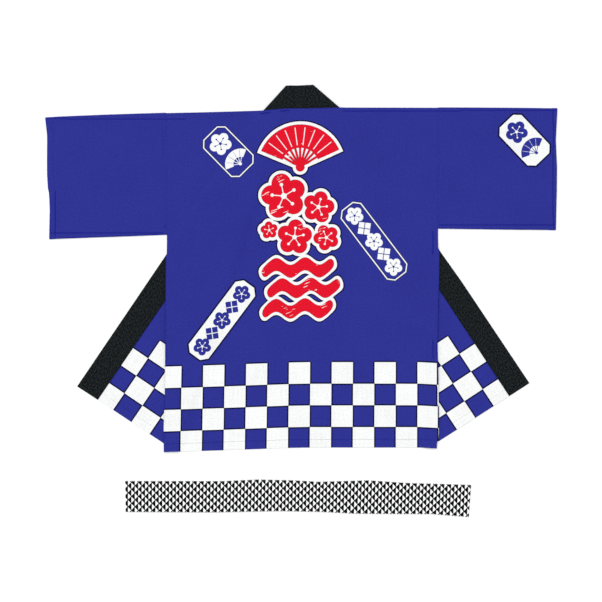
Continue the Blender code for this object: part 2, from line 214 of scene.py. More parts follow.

# Painted shade beside each kind of line: how strong it is, and how wide it shows. Past 1
# the cloth is painted darker still, as in deep shade.
FRONT_HEM_SHADE = 0.08
ARMHOLE_SHADE = 0.3
BACK_HEM_SHADE = 0.4
SEAM_SHADE = 1.0
NECK_SHADE = 1.3
TACK_SHADE = 1.6
SIDE_SHADE = 2.2
PAINTED_SHADE_WIDTH = 1.3

# How strong the painted shade along the rim of a piece is, on the scale of a crease's, how
# far in it reaches, and how near an armhole's seam it stops.
RIM_SHADE = 0.5
RIM_REACH = 1.7
RIM_STOP = 3.0

# How far edges and folds are run on past their ends, to measure from them.
EDGE_RUN_ON = 60.0
FOLD_RUN_ON = 30.0
HEM_RUN_ON = 5.0

# Nominal sizes, across and down, that the grids of points are laid out for, how far the
# stitched lines are inside the back's right side, and the points across hidden cloth.
BACK_GRID = (640.0, 800.0)
SLEEVE_GRID = (290.0, 280.0)
NECK_GRID = 120.0
BELT_GRID = (811.0, 73.0)
SIDE_STITCH = 12.0
HIDDEN_COLUMNS = 24
SLIVER_ROWS = 20

# Extra points of a grid: from its ends, beside marks, and in dense bands, which the back
# has below its top edge and a sleeve beside its two folds and its cuff. Points closer
# than the least steps are left out.
EDGE_STEPS = (0.0, 0.06, 0.2, 0.45, 0.9, 1.8)
MARK_STEPS = (-1.6, -0.8, -0.4, 0.0, 0.4, 0.8, 1.6)
DENSE_STEP = 1.1
BACK_DENSE = ((0.0, 20.0),)
SLEEVE_DENSE_ACROSS = ((1.0, 16.0), (268.0, 290.0))
SLEEVE_DENSE_DOWN = ((262.0, 276.0),)
LEAST_STEP = 0.05
LEAST_LAST_STEP = 0.04

# The turns round a folded edge, from its lower side to its upper one, and how far a
# sleeve's fold stands out as a share of half its height.
HALF_TURN = np.linspace(0.0, math.pi, 8)[1:-1]
SLEEVE_BULGE = 0.8

# The width that the back's print was made for, and where its edges run in the plan: its
# left edge as heights and places. The cloth of the last column is taken up into the seam,
# less so in the lowest squares: heights and shares.
BACK_WIDTH = 640.0
PRINTED_LEFT = (
    (-10.6, -322.9), (240.0, -318.6), (380.0, -317.0), (501.0, -316.3), (785.8, -318.8),
)
PRINTED_RIGHT = 320.5
LAST_COLUMN = 272.0
TAKEN_UP = (
    (26.0, 0.01), (30.0, 0.02), (42.0, 0.02), (46.0, 0.05),
    (98.0, 0.05), (104.0, 0.068), (140.0, 0.068), (147.0, 0.1),
)

# How far the belt's weave leans where the belt turns a little: places and slopes.
BELT_LEANS = ((-344.0, 0.0), (-180.0, -0.027), (-15.0, -0.027), (149.0, -0.034), (313.0, -0.047))

# The middle of the back's large print, in the plan. Its labels: middle in the plan, turn in
# degrees, half width and half length in metres, and whether they are white plates.
PRINT_MIDDLE = (-2.5, 535.0)
BACK_LABELS = (
    ((-171.8, 695.1), 43.5, (0.0365, 0.062), False),
    ((170.4, 484.8), 37.4, (0.0305, 0.104), False),
    ((-186.8, 299.2), -37.2, (0.0295, 0.104), True),
)

# From here on sizes are in metres. How much of a label's corners is cut off, and the half
# length from which it counts as long. Round a white plate: how far its dark line reaches,
# and how far the white stays inside. Of an outline: the place of its middle, its width,
# and the width of the dark under it.
LABEL_CORNER = 0.014
LONG_LABEL = 0.08
PLATE_LINE = 0.0034
PLATE_INSET = 0.0004
OUTLINE_MIDDLE = -0.0014
OUTLINE_WIDTH = 0.0027
OUTLINE_LINE = 0.0058

# How far each colour reaches round the large print's shapes, from the outside in.
PRINT_LINES = (("keyline", 0.0107), ("white", 0.0076), ("keyline", 0.0006), ("red", 0.0))

# Where the brush ran dry in the large print: the scale and the least value of such places,
# and the turn, scale, stretch and least value of the streaks in them.
DRY_SCALE = 26.0
DRY_LEAST = 0.6
STREAK_TURN = 0.35
STREAK_SCALE = 90.0
STREAK_STRETCH = (0.28, 3.4, 1.0)
STREAK_LEAST = 0.62

# How far a fan is spread to each side.
FAN_SPREAD = math.radians(66.0)

# The rows of checks above the one at the hem, and where the back's first column starts.
# The fronts have their own first column, column width, first row, row height and first
# colour, and a turn.
CHECK_ROWS = 3.0
BACK_COLUMN = 0.020
FRONT_CHECKS = (0.0430, 0.0513, 0.0478, 0.04975, 1.0)
FRONT_TURN = -0.0112

# The triangles of the belt: where they start, and their column width and row height.
BELT_START = (-0.0044, -0.0027)
TRIANGLE_SIZE = (0.008065, 0.01663)

# What each cotton looks like: uneven threads, broad and fine shades of dye, the height of
# the weave, and how much of the pale wrong side shows.
Weave = namedtuple("Weave", "slub shade flecks bump wrong_side")
PRINTED_WEAVE = Weave(0.32, 0.16, 0.33, 0.25, 0.45)
COLLAR_WEAVE = Weave(0.8, 0.35, 6.5, 0.3, 0.0)
BELT_WEAVE = Weave(0.12, 0.08, 0.2, 0.25, 0.0)
WRONG_SIDE = (0.55, 0.56, 0.62)
LINT = 0.03
WEAVE_HEIGHT = 0.0002
SLUB_HEIGHT = 2.0
SLUB_ROUGHNESS = 0.6
GLOSS = 0.06
SHEEN_ROUGHNESS = 0.6

# The noise of uneven threads: the scales of the long and the cross ones, the share of the
# long ones, their detail and how far they stretch along themselves. Then the scales of the
# dye's clouds and flecks and of the lint, and the clouds' detail.
LONG_SCALE = 430.0
CROSS_SCALE = 390.0
LONG_SHARE = 0.58
THREAD_DETAIL = 2.5
THREAD_STRETCH = 0.045
CLOUD_SCALE = 9.0
CLOUD_DETAIL = 3.0
FLECK_SCALE = 270.0
LINT_SCALE = 340.0

# How soft the edges of what is printed are, how uneven, and at what scale; and how far in
# from the collar's edges its painted shade reaches.
PRINT_EDGE = 0.0004
EDGE_UNEVEN = 0.0012
EDGE_SCALE = 420.0
COLLAR_EDGE_SHADE = 0.003

# A stitch: its sides and rings, how flat it is, how far it stands out as a share of its
# thickness, the share of its row that its way is taken over, and how far past the back's
# side, in millimetres, the stitches of what lies under the back start.
STITCH_SIDES = 6
STITCH_RINGS = 4
STITCH_FLAT = 0.9
STITCH_LIFT = 0.15
STITCH_REACH = 0.002
STITCH_CLEAR = 1.0

# The sewing thread: the scale, bump and height of its strands, how their shade follows
# the noise, how rough it is as a share of the cotton, and its gloss.
STRAND_SCALE = 2600.0
STRAND_BUMP = 0.3
STRAND_HEIGHT = 0.0001
STRAND_SHADE = (0.5, 0.75)
THREAD_ROUGHNESS = 0.8
THREAD_GLOSS = 0.25

# The painted shade of a crease: how much it deepens and darkens the colour; how much
# darker cloth in deep shade is painted, and the least light that it keeps.
CREASE_SHADE_SATURATION = 1.07
CREASE_SHADE_VALUE = 0.83
SHADE_DARKENS = 0.45
LEAST_SHADE = 0.15

# The camera looks straight down on this point of the frame, over this width.
VIEW_POINT = (-0.0007, -0.0002)
VIEW_WIDTH = 1.4147
VIEW_LIFT = 0.002
LENS = 100.0
SENSOR = 36.0
FAR_CLIP = 50.0

# The sheet of paper below: its size, the scale and detail of its grain, how its shade
# follows that, and how matt it is.
FLOOR_WIDTH = 8.0
FLOOR_HEIGHT = -0.0003
GRAIN_SCALE = 6.0
GRAIN_DETAIL = 3.0
GRAIN_SHADE = (0.01, 0.995)
FLOOR_ROUGHNESS = 0.95

# The light that falls on the floor: from all round, and from a wide soft lamp. The angles
# are in degrees.
ROUND_LIGHT = 0.78
LAMP_LIGHT = 0.37
LAMP_SPREAD = 50.0
LAMP_TILT = 38.0
LAMP_TURN = 215.0

# A piece of cloth as a grid: middle points, the thickness at each, its place on the flat
# cut, in millimetres, and how much painted shade it has there.
Cloth = namedtuple("Cloth", "middle thickness cut pressed")


# Plan geometry on whole grids of points


def along(path, shares):
    """The points at shares of a polyline's length."""
    points = np.array(path, float)
    lengths = np.linalg.norm(np.diff(points, axis=0), axis=1)
    places = np.concatenate([[0.0], np.cumsum(lengths)]) / lengths.sum()
    return np.stack([np.interp(shares, places, points[:, axis]) for axis in (0, 1)], axis=-1)


def length_of(path):
    return float(np.linalg.norm(np.diff(np.array(path, float), axis=0), axis=1).sum())


def left_of(points, path):
    """How far points lie to the left of a polyline, less than nothing on its right."""
    nearest = np.full(points.shape[:-1], np.inf)
    side = np.ones(points.shape[:-1])
    corners = np.array(path, float)
    for start, end in zip(corners, corners[1:]):
        run = end - start
        reach = points - start
        share = np.clip(reach @ run / (run @ run), 0.0, 1.0)
        away = np.linalg.norm(reach - share[..., None] * run, axis=-1)
        turned = run[0] * reach[..., 1] - run[1] * reach[..., 0]
        nearer = away < nearest
        nearest = np.where(nearer, away, nearest)
        side = np.where(nearer, np.where(turned < 0.0, -1.0, 1.0), side)
    return nearest * side


def direction(start, end):
    """The unit vector from one point to another."""
    run = np.array(end) - np.array(start)
    return run / np.linalg.norm(run)


def lengthened(path, extra):
    """A polyline run on past both ends."""
    points = np.array(path, float)
    points[0] += direction(points[1], points[0]) * extra
    points[-1] += direction(points[-2], points[-1]) * extra
    return points


def falling(share):
    """From 1 to 0 as the share goes from 0 to 1, level at both ends."""
    share = np.clip(share, 0.0, 1.0)
    return 1.0 - share * share * (3.0 - 2.0 * share)


def bell(away, width):
    """1 at no distance, and nearly 0 from twice the width on."""
    return np.exp(-((away / width) ** 2))


def patch(top, foot, left, right, across, down):
    """Points spread between four edges. top and foot run from left to right."""
    s = across[None, :, None]
    t = down[:, None, None]
    upper = along(top, across)[None]
    lower = along(foot, across)[None]
    start = along(left, down)[:, None]
    end = along(right, down)[:, None]
    corners = (
        (1 - s) * (1 - t) * np.array(top[0])
        + s * (1 - t) * np.array(top[-1])
        + (1 - s) * t * np.array(foot[0])
        + s * t * np.array(foot[-1])
    )
    return (1 - t) * upper + t * lower + (1 - s) * start + s * end - corners


def stations(length, step, marks=(), ends=(True, True), dense=()):
    """Shares of a length at even steps, closer at its ends, beside marks and in dense bands."""
    places = list(np.linspace(0.0, length, max(int(round(length / step)), 2) + 1))
    for start, end in dense:
        places += list(np.arange(start, end, DENSE_STEP))
    if ends[0]:
        places += EDGE_STEPS
    if ends[1]:
        places += [length - away for away in EDGE_STEPS]
    for mark in marks:
        places += [mark + away for away in MARK_STEPS]
    kept = [0.0]
    for place in sorted(places):
        if place - kept[-1] > LEAST_STEP and length - place > LEAST_LAST_STEP:
            kept.append(place)
    return np.array([*kept, length]) / length


# Lines and heights of one half of the coat


def past_free_edge(points, half):
    """How far points lie outside the collar's free edge."""
    edge = lengthened((half.neck, half.band_out, half.band_outer), EDGE_RUN_ON)
    return half.outer * left_of(points, edge)


def past_side(points, half):
    """How far points lie outside the back's side."""
    return -half.outer * left_of(points, half.side[::-1])


def front_height(points, half):
    """A front's underside: on the surface, and up over its own turned-out half."""
    return FRONT_OVER_COLLAR * falling(past_free_edge(points, half) / EDGE_SLOPE)


def height_over_half(points, half):
    """The underside of the back or the collar over one half's fronts and folds."""
    fold = lengthened((half.collar_tip, half.seam_fold, half.fold_foot), FOLD_RUN_ON)
    past_fold = -half.outer * left_of(points, fold) - FOLD_ROOM
    step = falling(past_free_edge(points, half) / EDGE_SLOPE)
    stacked = BACK_OVER_FRONT + (BACK_OVER_FOLD - BACK_OVER_FRONT) * step
    return np.where(past_fold > 0.0, BACK_OVER_FOLD * falling(past_fold / FOLD_SLOPE), stacked)


def top_layer_height(points):
    return np.maximum(height_over_half(points, LEFT), height_over_half(points, RIGHT))


def hem_ways(half):
    """The directions along a front's hem from the collar, and up from it."""
    run = direction(half.band_inner, half.hem_under)
    return run, np.array((-run[1], run[0])) * -half.outer


def front_hem_line(half):
    """The stitches of a turned-out front's hem, from the collar to the body."""
    return np.array((half.band_inner, half.hem_under)) + hem_ways(half)[1] * STITCHED_HEM


def band_line(half):
    """The stitches of a collar band, just inside its sewn edge."""
    sewn = np.array((half.band_inner, half.seam_out, half.seam_fold))
    return sewn + direction(half.band_inner, half.band_outer) * COLLAR_STITCH


def raised_line(path, extra):
    return [(x, y + extra) for x, y in path]


# Relief of the cloth


def slack(points, seed):
    """Broad soft waves of cloth laid flat by hand, from -1 to 1."""
    x = points[..., 0] + 37.0 * seed
    y = points[..., 1] - 53.0 * seed
    bent = 21.0 * np.sin(y / 97.0 + seed) + 13.0 * np.sin(x / 59.0)
    broad = np.sin((x + bent) / 41.0) * np.sin((y - 0.6 * bent) / 58.0 + seed)
    cross = np.sin((0.7 * x + y + bent) / 33.0) * np.sin((x - 0.5 * y) / 47.0 + 2.0 * seed)
    return 0.6 * broad + 0.4 * cross


def ripple(run, seed):
    """Uneven small waves along a seam, from -1 to 1."""
    return np.sin(run / 1.9 + 1.7 * np.sin(run / 7.3 + seed)) * np.sin(run / 4.3 + seed)


def puckers(points, path, size, seed):
    """Ripples of a height that die away from a line of stitches over a reach."""
    height, reach = size
    run = points[..., 0] * 0.8 + points[..., 1] * 0.6
    return height * (ripple(run, seed) * ridge(points, path, reach))


def ridge(points, path, width):
    """1 on a line, and down to 0 on both sides."""
    return bell(left_of(points, path), width)


def creases(points, lines, width):
    """1 at the bottom of any of some pressed lines, which fade out at their ends."""
    deepest = np.zeros(points.shape[:-1])
    for line in lines:
        place = (points - np.array(line[0])) @ direction(line[0], line[-1])
        to_end = math.dist(line[0], line[-1]) - place
        faded = np.clip((place + FADE_PAST) / FADE_LENGTH, 0.0, 1.0)
        faded *= np.clip((to_end + FADE_PAST) / FADE_LENGTH, 0.0, 1.0)
        deepest = np.maximum(deepest, ridge(points, line, width) * faded)
    return deepest


def dents(points, lines, size):
    """Pressed lines of a depth and a width."""
    depth, width = size
    return -depth * creases(points, lines, width)


def dent(points, path, size):
    """A line of a depth and a width along the whole of a path."""
    depth, width = size
    return -depth * ridge(points, path, width)


def painted_shade_by(points, *groups):
    """Painted shade of cloth beside groups of lines, each with its strength."""
    pressed = [strength * creases(points, lines, PAINTED_SHADE_WIDTH) for strength, lines in groups]
    return np.maximum.reduce(pressed)


# Meshes


def in_row(points):
    """Plan points and heights as metres in the frame."""
    return (points - np.array((*CENTRE, 0.0))) * MM


def raised(points, heights):
    return np.concatenate([points, heights[..., None]], axis=-1)


def side_by_side(*grids):
    return np.concatenate(grids, axis=1)


def round_fold(edge):
    """The values at an edge, kept all the way round its fold."""
    return np.repeat(edge, len(HALF_TURN), axis=1)


def inward(line, half):
    """The level direction across a line towards the middle of the coat."""
    run = direction(*line)
    across = np.array((run[1], -run[0]))
    return -across if across[0] * half.outer > 0.0 else across


def folded_edge(edge, outward, low, high, bulge=1.0):
    """The round of a fold at each point of an edge, from its lower side to its upper one."""
    radius = ((high - low) / 2)[:, None]
    away = (radius * np.sin(HALF_TURN) * bulge)[..., None]
    place = edge[:, None] + np.atleast_2d(outward)[:, None] * away
    return raised(place, low[:, None] + radius * (1.0 - np.cos(HALF_TURN)))


def grid_normals(middle, closed):
    """The unit normal at each point of a grid."""
    if closed:
        around = np.roll(middle, -1, axis=1) - np.roll(middle, 1, axis=1)
    else:
        around = np.gradient(middle, axis=1)
    down = np.gradient(middle, axis=0)
    normal = np.cross(around, down)
    size = np.linalg.norm(normal, axis=-1, keepdims=True)
    flat = size[..., 0] < 1e-9
    normal = normal / np.maximum(size, 1e-9)
    normal[flat] = (0.0, 0.0, 1.0)
    return normal


def rounding(room, half_thickness):
    """Half the cloth's thickness over a grid, rounded off to nothing at its rim."""
    inside = np.clip(room / half_thickness, 0.0, 1.0)
    return half_thickness * np.sqrt(np.clip(1.0 - (1.0 - inside) ** 2, 0.0, 1.0))


def rim_room(middle, axis):
    """How far each point of a grid is from the rim, along one way of the grid."""
    steps = np.linalg.norm(np.diff(middle, axis=axis), axis=-1)
    start = np.cumsum(np.insert(steps, 0, 0.0, axis=axis), axis=axis)
    return np.minimum(start, np.take(start, [-1], axis=axis) - start)


def shell(name, cloth, face_up, closed=False, hemmed=False):
    """A closed shell of cloth round a grid of middle points.

    face_up is a place in the grid where the printed side faces up. The rim gets painted
    shade, but a hemmed piece gets none along its last row.
    """
    middle, thickness, cut, pressed = cloth
    rows, columns = thickness.shape
    normal = grid_normals(middle, closed)
    if normal[face_up][2] < 0.0:
        normal = -normal
    down = rim_room(middle, 0)
    across = down if closed else rim_room(middle, 1)
    half = rounding(np.minimum(across, down), thickness / 2)[..., None]
    outer = middle + normal * half
    inner = middle - normal * half
    within = np.zeros((rows, columns), bool)
    within[1:-1] = True
    if not closed:
        within[:, [0, -1]] = False
    above = np.arange(rows * columns).reshape(rows, columns)
    below = above.copy()
    below[within] = rows * columns + np.arange(int(within.sum()))
    faces = []
    for index in (above, below):
        beside = np.roll(index, -1, axis=1)
        quads = np.stack([index[:-1], beside[:-1], beside[1:], index[1:]], axis=-1)
        if not closed:
            quads = quads[:, :-1]
        if index is below:
            quads = quads[..., ::-1]
        faces.append(quads.reshape(-1, 4))
    if hemmed:
        down[rows // 2 :] = np.inf
    # Painted shade along the rim, left off near the seam at the top of each side.
    painted_rim_shade = RIM_SHADE * bell(np.minimum(across, down), RIM_REACH)
    for side in (LEFT.side, RIGHT.side):
        painted_rim_shade *= 1.0 - ridge(middle[..., :2], side[:2], RIM_STOP)
    pressed = np.maximum(pressed, painted_rim_shade)
    points = np.concatenate([outer.reshape(-1, 3), inner[within]])
    places = np.concatenate([cut.reshape(-1, 2), cut[within]])
    values = {
        "right_side": np.repeat((1.0, 0.0), (rows * columns, int(within.sum()))),
        "pressed": np.concatenate([pressed.reshape(-1), pressed[within]]),
    }
    return build(name, in_row(points), np.concatenate(faces), places, values)


def build(name, points, faces, places, values):
    """The named object of points and faces, with its cut as a UV map in metres."""
    mesh = bpy.data.meshes.new(name)
    mesh.from_pydata(points.tolist(), [], faces.tolist())
    layer = mesh.uv_layers.new(name="cut")
    corner = np.empty(len(mesh.loops), int)
    mesh.loops.foreach_get("vertex_index", corner)
    layer.data.foreach_set("uv", (places[corner] * MM).astype(np.float32).ravel())
    for value_name, numbers in values.items():
        side = mesh.attributes.new(value_name, "FLOAT", "POINT")
        side.data.foreach_set("value", numbers.astype(np.float32))
    work = bmesh.new()
    work.from_mesh(mesh)
    bmesh.ops.remove_doubles(work, verts=work.verts, dist=1e-7)
    bmesh.ops.dissolve_degenerate(work, edges=work.edges, dist=1e-7)
    bmesh.ops.recalc_face_normals(work, faces=work.faces)
    for face in work.faces:
        face.smooth = True
    work.to_mesh(mesh)
    work.free()
    return linked(name, mesh)


def linked(name, data):
    """A new object of some data, in the scene."""
    item = bpy.data.objects.new(name, data)
    bpy.context.scene.collection.objects.link(item)
    return item


def cut_area(cut):
    """The area of a grid of places on the cut, in square metres."""
    a = cut[1:, :-1] - cut[:-1, :-1]
    b = cut[:-1, 1:] - cut[:-1, :-1]
    c = cut[1:, 1:] - cut[:-1, 1:]
    d = cut[1:, 1:] - cut[1:, :-1]
    first = np.abs(a[..., 0] * b[..., 1] - a[..., 1] * b[..., 0])
    second = np.abs(c[..., 0] * d[..., 1] - c[..., 1] * d[..., 0])
    return float((first + second).sum()) / 2 * MM * MM


def cut_size(cut):
    """The width and length of a grid of places on the cut, in metres."""
    flat = cut.reshape(-1, 2)
    return tuple(float(size) * MM for size in flat.max(axis=0) - flat.min(axis=0))


def cut_piece(name, node, slot, material, cloth, face_up, held="folded", rests_on=(), **ways):
    """A piece of cloth that rides on the coat in its node's place."""
    piece = shell(name, cloth, face_up, **ways)
    piece.data.materials.append(material)
    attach(piece, "root")
    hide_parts(node)
    area = cut_area(cloth.cut)
    cut_size(cloth.cut)


# Shapes of the pieces


def even(middle, thickness, cut):
    """Cloth of one thickness with no painted shade."""
    size = middle.shape[:-1]
    return Cloth(middle, np.full(size, thickness), cut, np.zeros(size))


def hem_thickness(away, turned_up, sizes):
    """The thickness of cloth that is turned up at its edge, at a distance from the edge."""
    cloth = sizes.cloth / MM
    return cloth + cloth * HEM_EXTRA * falling((away - turned_up) / HEM_STEP)


def back_cut(points):
    """Places on the back's cut: even across between its sides, and up from the hem."""
    x, y = points[..., 0], points[..., 1]
    left = np.interp(y, *zip(*PRINTED_LEFT))
    across = (x - left) / (PRINTED_RIGHT - left)
    taken_up = np.maximum(x - LAST_COLUMN, 0.0) * np.interp(y, *zip(*TAKEN_UP))
    hem = np.interp(x, *zip(*BACK_HEM))
    return np.stack([(across - 0.5) * BACK_WIDTH + taken_up, y - hem], axis=-1)


def back_relief(points):
    """How the back stands over its flat form, in millimetres."""
    stitched = raised_line(BACK_HEM, STITCHED_HEM)
    lift = BACK_WAVES * slack(points, 1.0)
    lift += dents(points, SHOULDER_CREASES, SHOULDER_DENT)
    lift += dents(points, NECK_CREASES, NECK_DENT)
    lift += dent(points, stitched, HEM_DENT)
    lift += puckers(points, stitched, HEM_PUCKER, 0.4)
    for half in (LEFT, RIGHT):
        lift += puckers(points, half.side[:2], SEAM_PUCKER, 1.1)
    return lift + puckers(points, BACK_TOP, TOP_PUCKER, 2.3)


def back_surface(points, sizes):
    """The height of the back's middle and its thickness."""
    hem = np.abs(left_of(points, lengthened(BACK_HEM, HEM_RUN_ON)))
    thickness = hem_thickness(hem, TURNED_HEM, sizes)
    relief = back_relief(points) * sizes.slack / MM
    return top_layer_height(points) + thickness / 2 + CLOTH_LIFT + relief, thickness


def back_shape(sizes):
    """The back panel, over all that lies under it."""
    step = sizes.mesh / MM
    wide, high = BACK_GRID
    across = stations(wide, step, marks=(wide - SIDE_STITCH,))
    marks = (high - STITCHED_HEM, high - TURNED_HEM)
    down = stations(high, step, marks=marks, dense=BACK_DENSE)
    plan = patch(BACK_TOP, BACK_HEM, LEFT.side, RIGHT.side, across, down)
    heights, thickness = back_surface(plan, sizes)
    # Painted shade beside the hem's stitches, the creases and the stitched lines inside the
    # right side, and painted shadow where the sides lie over white squares.
    pressed = painted_shade_by(
        plan,
        (BACK_HEM_SHADE, (raised_line(BACK_HEM, STITCHED_HEM),)),
        (SEAM_SHADE, (*SHOULDER_CREASES, *SIDE_LINES)),
        (NECK_SHADE, NECK_CREASES),
        (SIDE_SHADE, SHADED_SIDES),
    )
    return Cloth(raised(plan, heights), thickness, back_cut(plan), pressed)


def front_cut(points, half):
    """Places on a front's cut: along its hem from the collar, and up from the hem."""
    run, up = hem_ways(half)
    reach = points - np.array(half.band_inner)
    return np.stack([reach @ run, reach @ up], axis=-1)


def mirrored(points, line):
    """Points turned over a straight line."""
    start, run = np.array(line[0]), direction(*line)
    reach = points - start
    return start + 2.0 * (reach @ run)[..., None] * run - reach


def front_surface(points, half, sizes):
    """The height of a turned-out front's middle and its thickness."""
    hem = np.abs(left_of(points, (half.band_inner, half.hem_under, half.fold_foot)))
    thickness = hem_thickness(hem, TURNED_HEM, sizes)
    shown = 1.0 - falling(past_side(points, half) / SHOWN_SLOPE)
    relief = CLOTH_LIFT + FRONT_WAVES * slack(points, 3.0 + half.outer)
    pucker, reach = HEM_PUCKER
    ripples = ripple(points[..., 0] * 0.7 + points[..., 1], 0.7)
    relief += pucker * ripples * bell(hem - STITCHED_HEM, reach)
    return thickness / 2 + relief * shown * sizes.slack / MM, thickness


def front_shape(half, sizes):
    """A front from the collar's seam, round its fold and back to the body's side."""
    step = sizes.mesh / MM
    cloth = sizes.cloth / MM
    hem = (half.band_inner, half.hem_under, half.fold_foot)
    fold = (half.seam_fold, half.fold_foot)
    seam = (half.seam_fold, half.seam_out, half.band_inner)
    high = length_of(seam)
    down = stations(high, step, marks=(high - TURNED_HEM,), ends=(False, True))
    across = stations(length_of(hem), step, ends=(True, False))
    out = patch((half.seam_fold, half.seam_fold), hem, seam, fold, across, down)
    heights, thickness = front_surface(out, half, sizes)
    top = (half.seam_fold, half.neck, *half.shoulder, half.side[0])
    side_hem = (half.fold_foot, half.side[-1])
    across = np.linspace(0.0, 1.0, HIDDEN_COLUMNS)
    under = patch(top, side_hem, fold, half.side, across, down)
    lift = front_height(under, half) + cloth / 2
    rolled = folded_edge(out[:, -1], inward(fold, half), heights[:, -1], lift[:, 0])
    middle = side_by_side(raised(out, heights), rolled, raised(under, lift))
    thin = np.full(lift.shape, cloth)
    wall = side_by_side(thickness, round_fold(thickness[:, -1:]), thin)
    flat = side_by_side(out, round_fold(out[:, -1:]), mirrored(under, fold))
    # Painted shade beside the hem's stitches, on the turned-out part only.
    pressed = np.zeros(wall.shape)
    lines = (front_hem_line(half),)
    pressed[:, : out.shape[1]] = painted_shade_by(out, (FRONT_HEM_SHADE, lines))
    return Cloth(middle, wall, front_cut(flat, half), pressed)


def sleeve_surface(points, half, sizes):
    """The height of a sleeve's upper wall's middle and its thickness."""
    cuff = np.abs(left_of(points, lengthened(half.cuff, HEM_RUN_ON)))
    thickness = hem_thickness(cuff, CUFF_HEM, sizes)
    lift = SLEEVE_WAVES * slack(points, 5.0 + half.outer)
    lift += puckers(points, half.side[:2], SEAM_PUCKER, 1.1)
    lift += puckers(points, half.cuff, CUFF_PUCKER, 0.9)
    lift += dents(points, (half.underarm_line, half.cuff_line), STITCH_DENT)
    lift += dents(points, SHOULDER_CREASES, SHOULDER_DENT)
    relief = lift * sizes.slack / MM
    return BACK_OVER_FRONT + thickness / 2 + CLOTH_LIFT + relief, thickness


def sleeve_plan(half, sizes):
    """The flat plan of a sleeve, from its armhole to its cuff and from its foot up."""
    step = sizes.mesh / MM
    wide, high = SLEEVE_GRID
    across = stations(wide, step, ends=(False, False), dense=SLEEVE_DENSE_ACROSS)
    down = stations(high, step, marks=(high - CUFF_HEM,), dense=SLEEVE_DENSE_DOWN)
    under = (half.side[1], *half.sleeve_under[-2::-1])
    top = (half.side[0], *half.sleeve_top[-2::-1])
    return patch((half.side[1], half.side[0]), half.cuff, under, top, across, down)


def sleeve_shape(half, sizes):
    """A tube of cloth pressed flat, open at its cuff and at the armhole."""
    plan = sleeve_plan(half, sizes)
    upper, wall = sleeve_surface(plan, half, sizes)
    lower = np.full(plan.shape[:-1], sizes.cloth / MM / 2)
    folds = []
    for column, beside in ((-1, -2), (0, 1)):
        edge = plan[:, column]
        outward = edge - plan[:, beside]
        outward /= np.linalg.norm(outward, axis=-1, keepdims=True)
        low, high = lower[:, column], upper[:, column]
        folds.append(folded_edge(edge, outward, low, high, SLEEVE_BULGE))
    turned_over = raised(plan, upper)[:, ::-1]
    middle = side_by_side(raised(plan, lower), folds[0], turned_over, folds[1][:, ::-1])
    walls = side_by_side(wall, round_fold(wall[:, -1:]), wall[:, ::-1], round_fold(wall[:, :1]))
    top = plan[:, -1:]
    under = plan.copy()
    under[..., 1] = 2.0 * top[..., 1] - plan[..., 1]
    cut = side_by_side(under, round_fold(top), plan[:, ::-1], round_fold(plan[:, :1]))
    # Painted shade beside the stitched lines, creases, armhole seams and tack, and along the
    # folds; the rolled folds get the rim's painted shade all round.
    shown = painted_shade_by(
        plan,
        (SEAM_SHADE, (half.underarm_line, half.cuff_line, *SHOULDER_CREASES)),
        (ARMHOLE_SHADE, half.armhole_lines),
        (TACK_SHADE, half.tacks),
    )
    to_folds = [np.abs(left_of(plan, line)) for line in (half.sleeve_top, half.sleeve_under)]
    shown = np.maximum(shown, RIM_SHADE * bell(np.minimum(*to_folds), RIM_REACH))
    rolled = np.full(folds[0].shape[:-1], RIM_SHADE)
    pressed = side_by_side(np.zeros(shown.shape), rolled, shown[:, ::-1], rolled)
    return Cloth(middle, walls, cut, pressed)


def band_surface(points, half, sizes, shown=1.0):
    """The height of a collar band's middle along a front, and its thickness."""
    band = sizes.collar / MM
    relief = BAND_LIFT + BAND_WAVES * slack(points, 8.0 + half.outer)
    return band / 2 + relief * shown * sizes.slack / MM, np.full(points.shape[:-1], band)


def collar_shape(half, sizes):
    """The collar along a front, from its lower end up and round the fold to the neck."""
    band = sizes.collar / MM
    step = sizes.mesh / MM
    attached = (half.band_inner, half.seam_out, half.seam_fold)
    free = (half.band_outer, *half.band_bow, half.band_out, half.neck, half.collar_tip)
    end = (half.band_inner, half.band_outer)
    fold = (half.seam_fold, half.collar_tip)
    across = stations(BAND_WIDTH, step)
    down = stations(length_of(attached), step, ends=(True, False))
    out = patch(end, fold, attached, free, across, down)
    shown = 1.0 - falling(past_side(out, half) / SHOWN_SLOPE)
    low = band_surface(out, half, sizes, shown)[0]
    top = (half.neck, half.collar_tip)
    inner = (half.seam_fold, half.neck)
    outer = (half.collar_tip, half.collar_tip)
    sliver = patch(fold, top, inner, outer, across, np.linspace(0.0, 1.0, SLIVER_ROWS))
    high = np.full(sliver.shape[:-1], FRONT_OVER_COLLAR + band / 2)
    rolled = folded_edge(out[-1], inward(fold, half), low[-1], high[0]).swapaxes(0, 1)
    middle = np.concatenate([raised(out, low), rolled, raised(sliver, high)])
    return even(middle, band, collar_cut(middle[..., :2], across))


def collar_cut(plan, across):
    """Places on the collar's strip: across it, and along it from its end."""
    centre = plan.mean(axis=1)
    steps = np.linalg.norm(np.diff(centre, axis=0), axis=-1)
    run = np.insert(np.cumsum(steps), 0, 0.0)
    width = np.broadcast_to(across * BAND_WIDTH, plan.shape[:-1])
    return np.stack([width, np.broadcast_to(run[:, None], plan.shape[:-1])], axis=-1)


def neck_surface(points, sizes):
    """The height of the neck collar's middle and its thickness."""
    band = sizes.collar / MM
    heights = top_layer_height(points) + band / 2 + NECK_LIFT + BAND_WAVES * slack(points, 11.0)
    heights += dent(points, NECK_EDGE, COLLAR_DENT)
    return heights, np.full(points.shape[:-1], band)


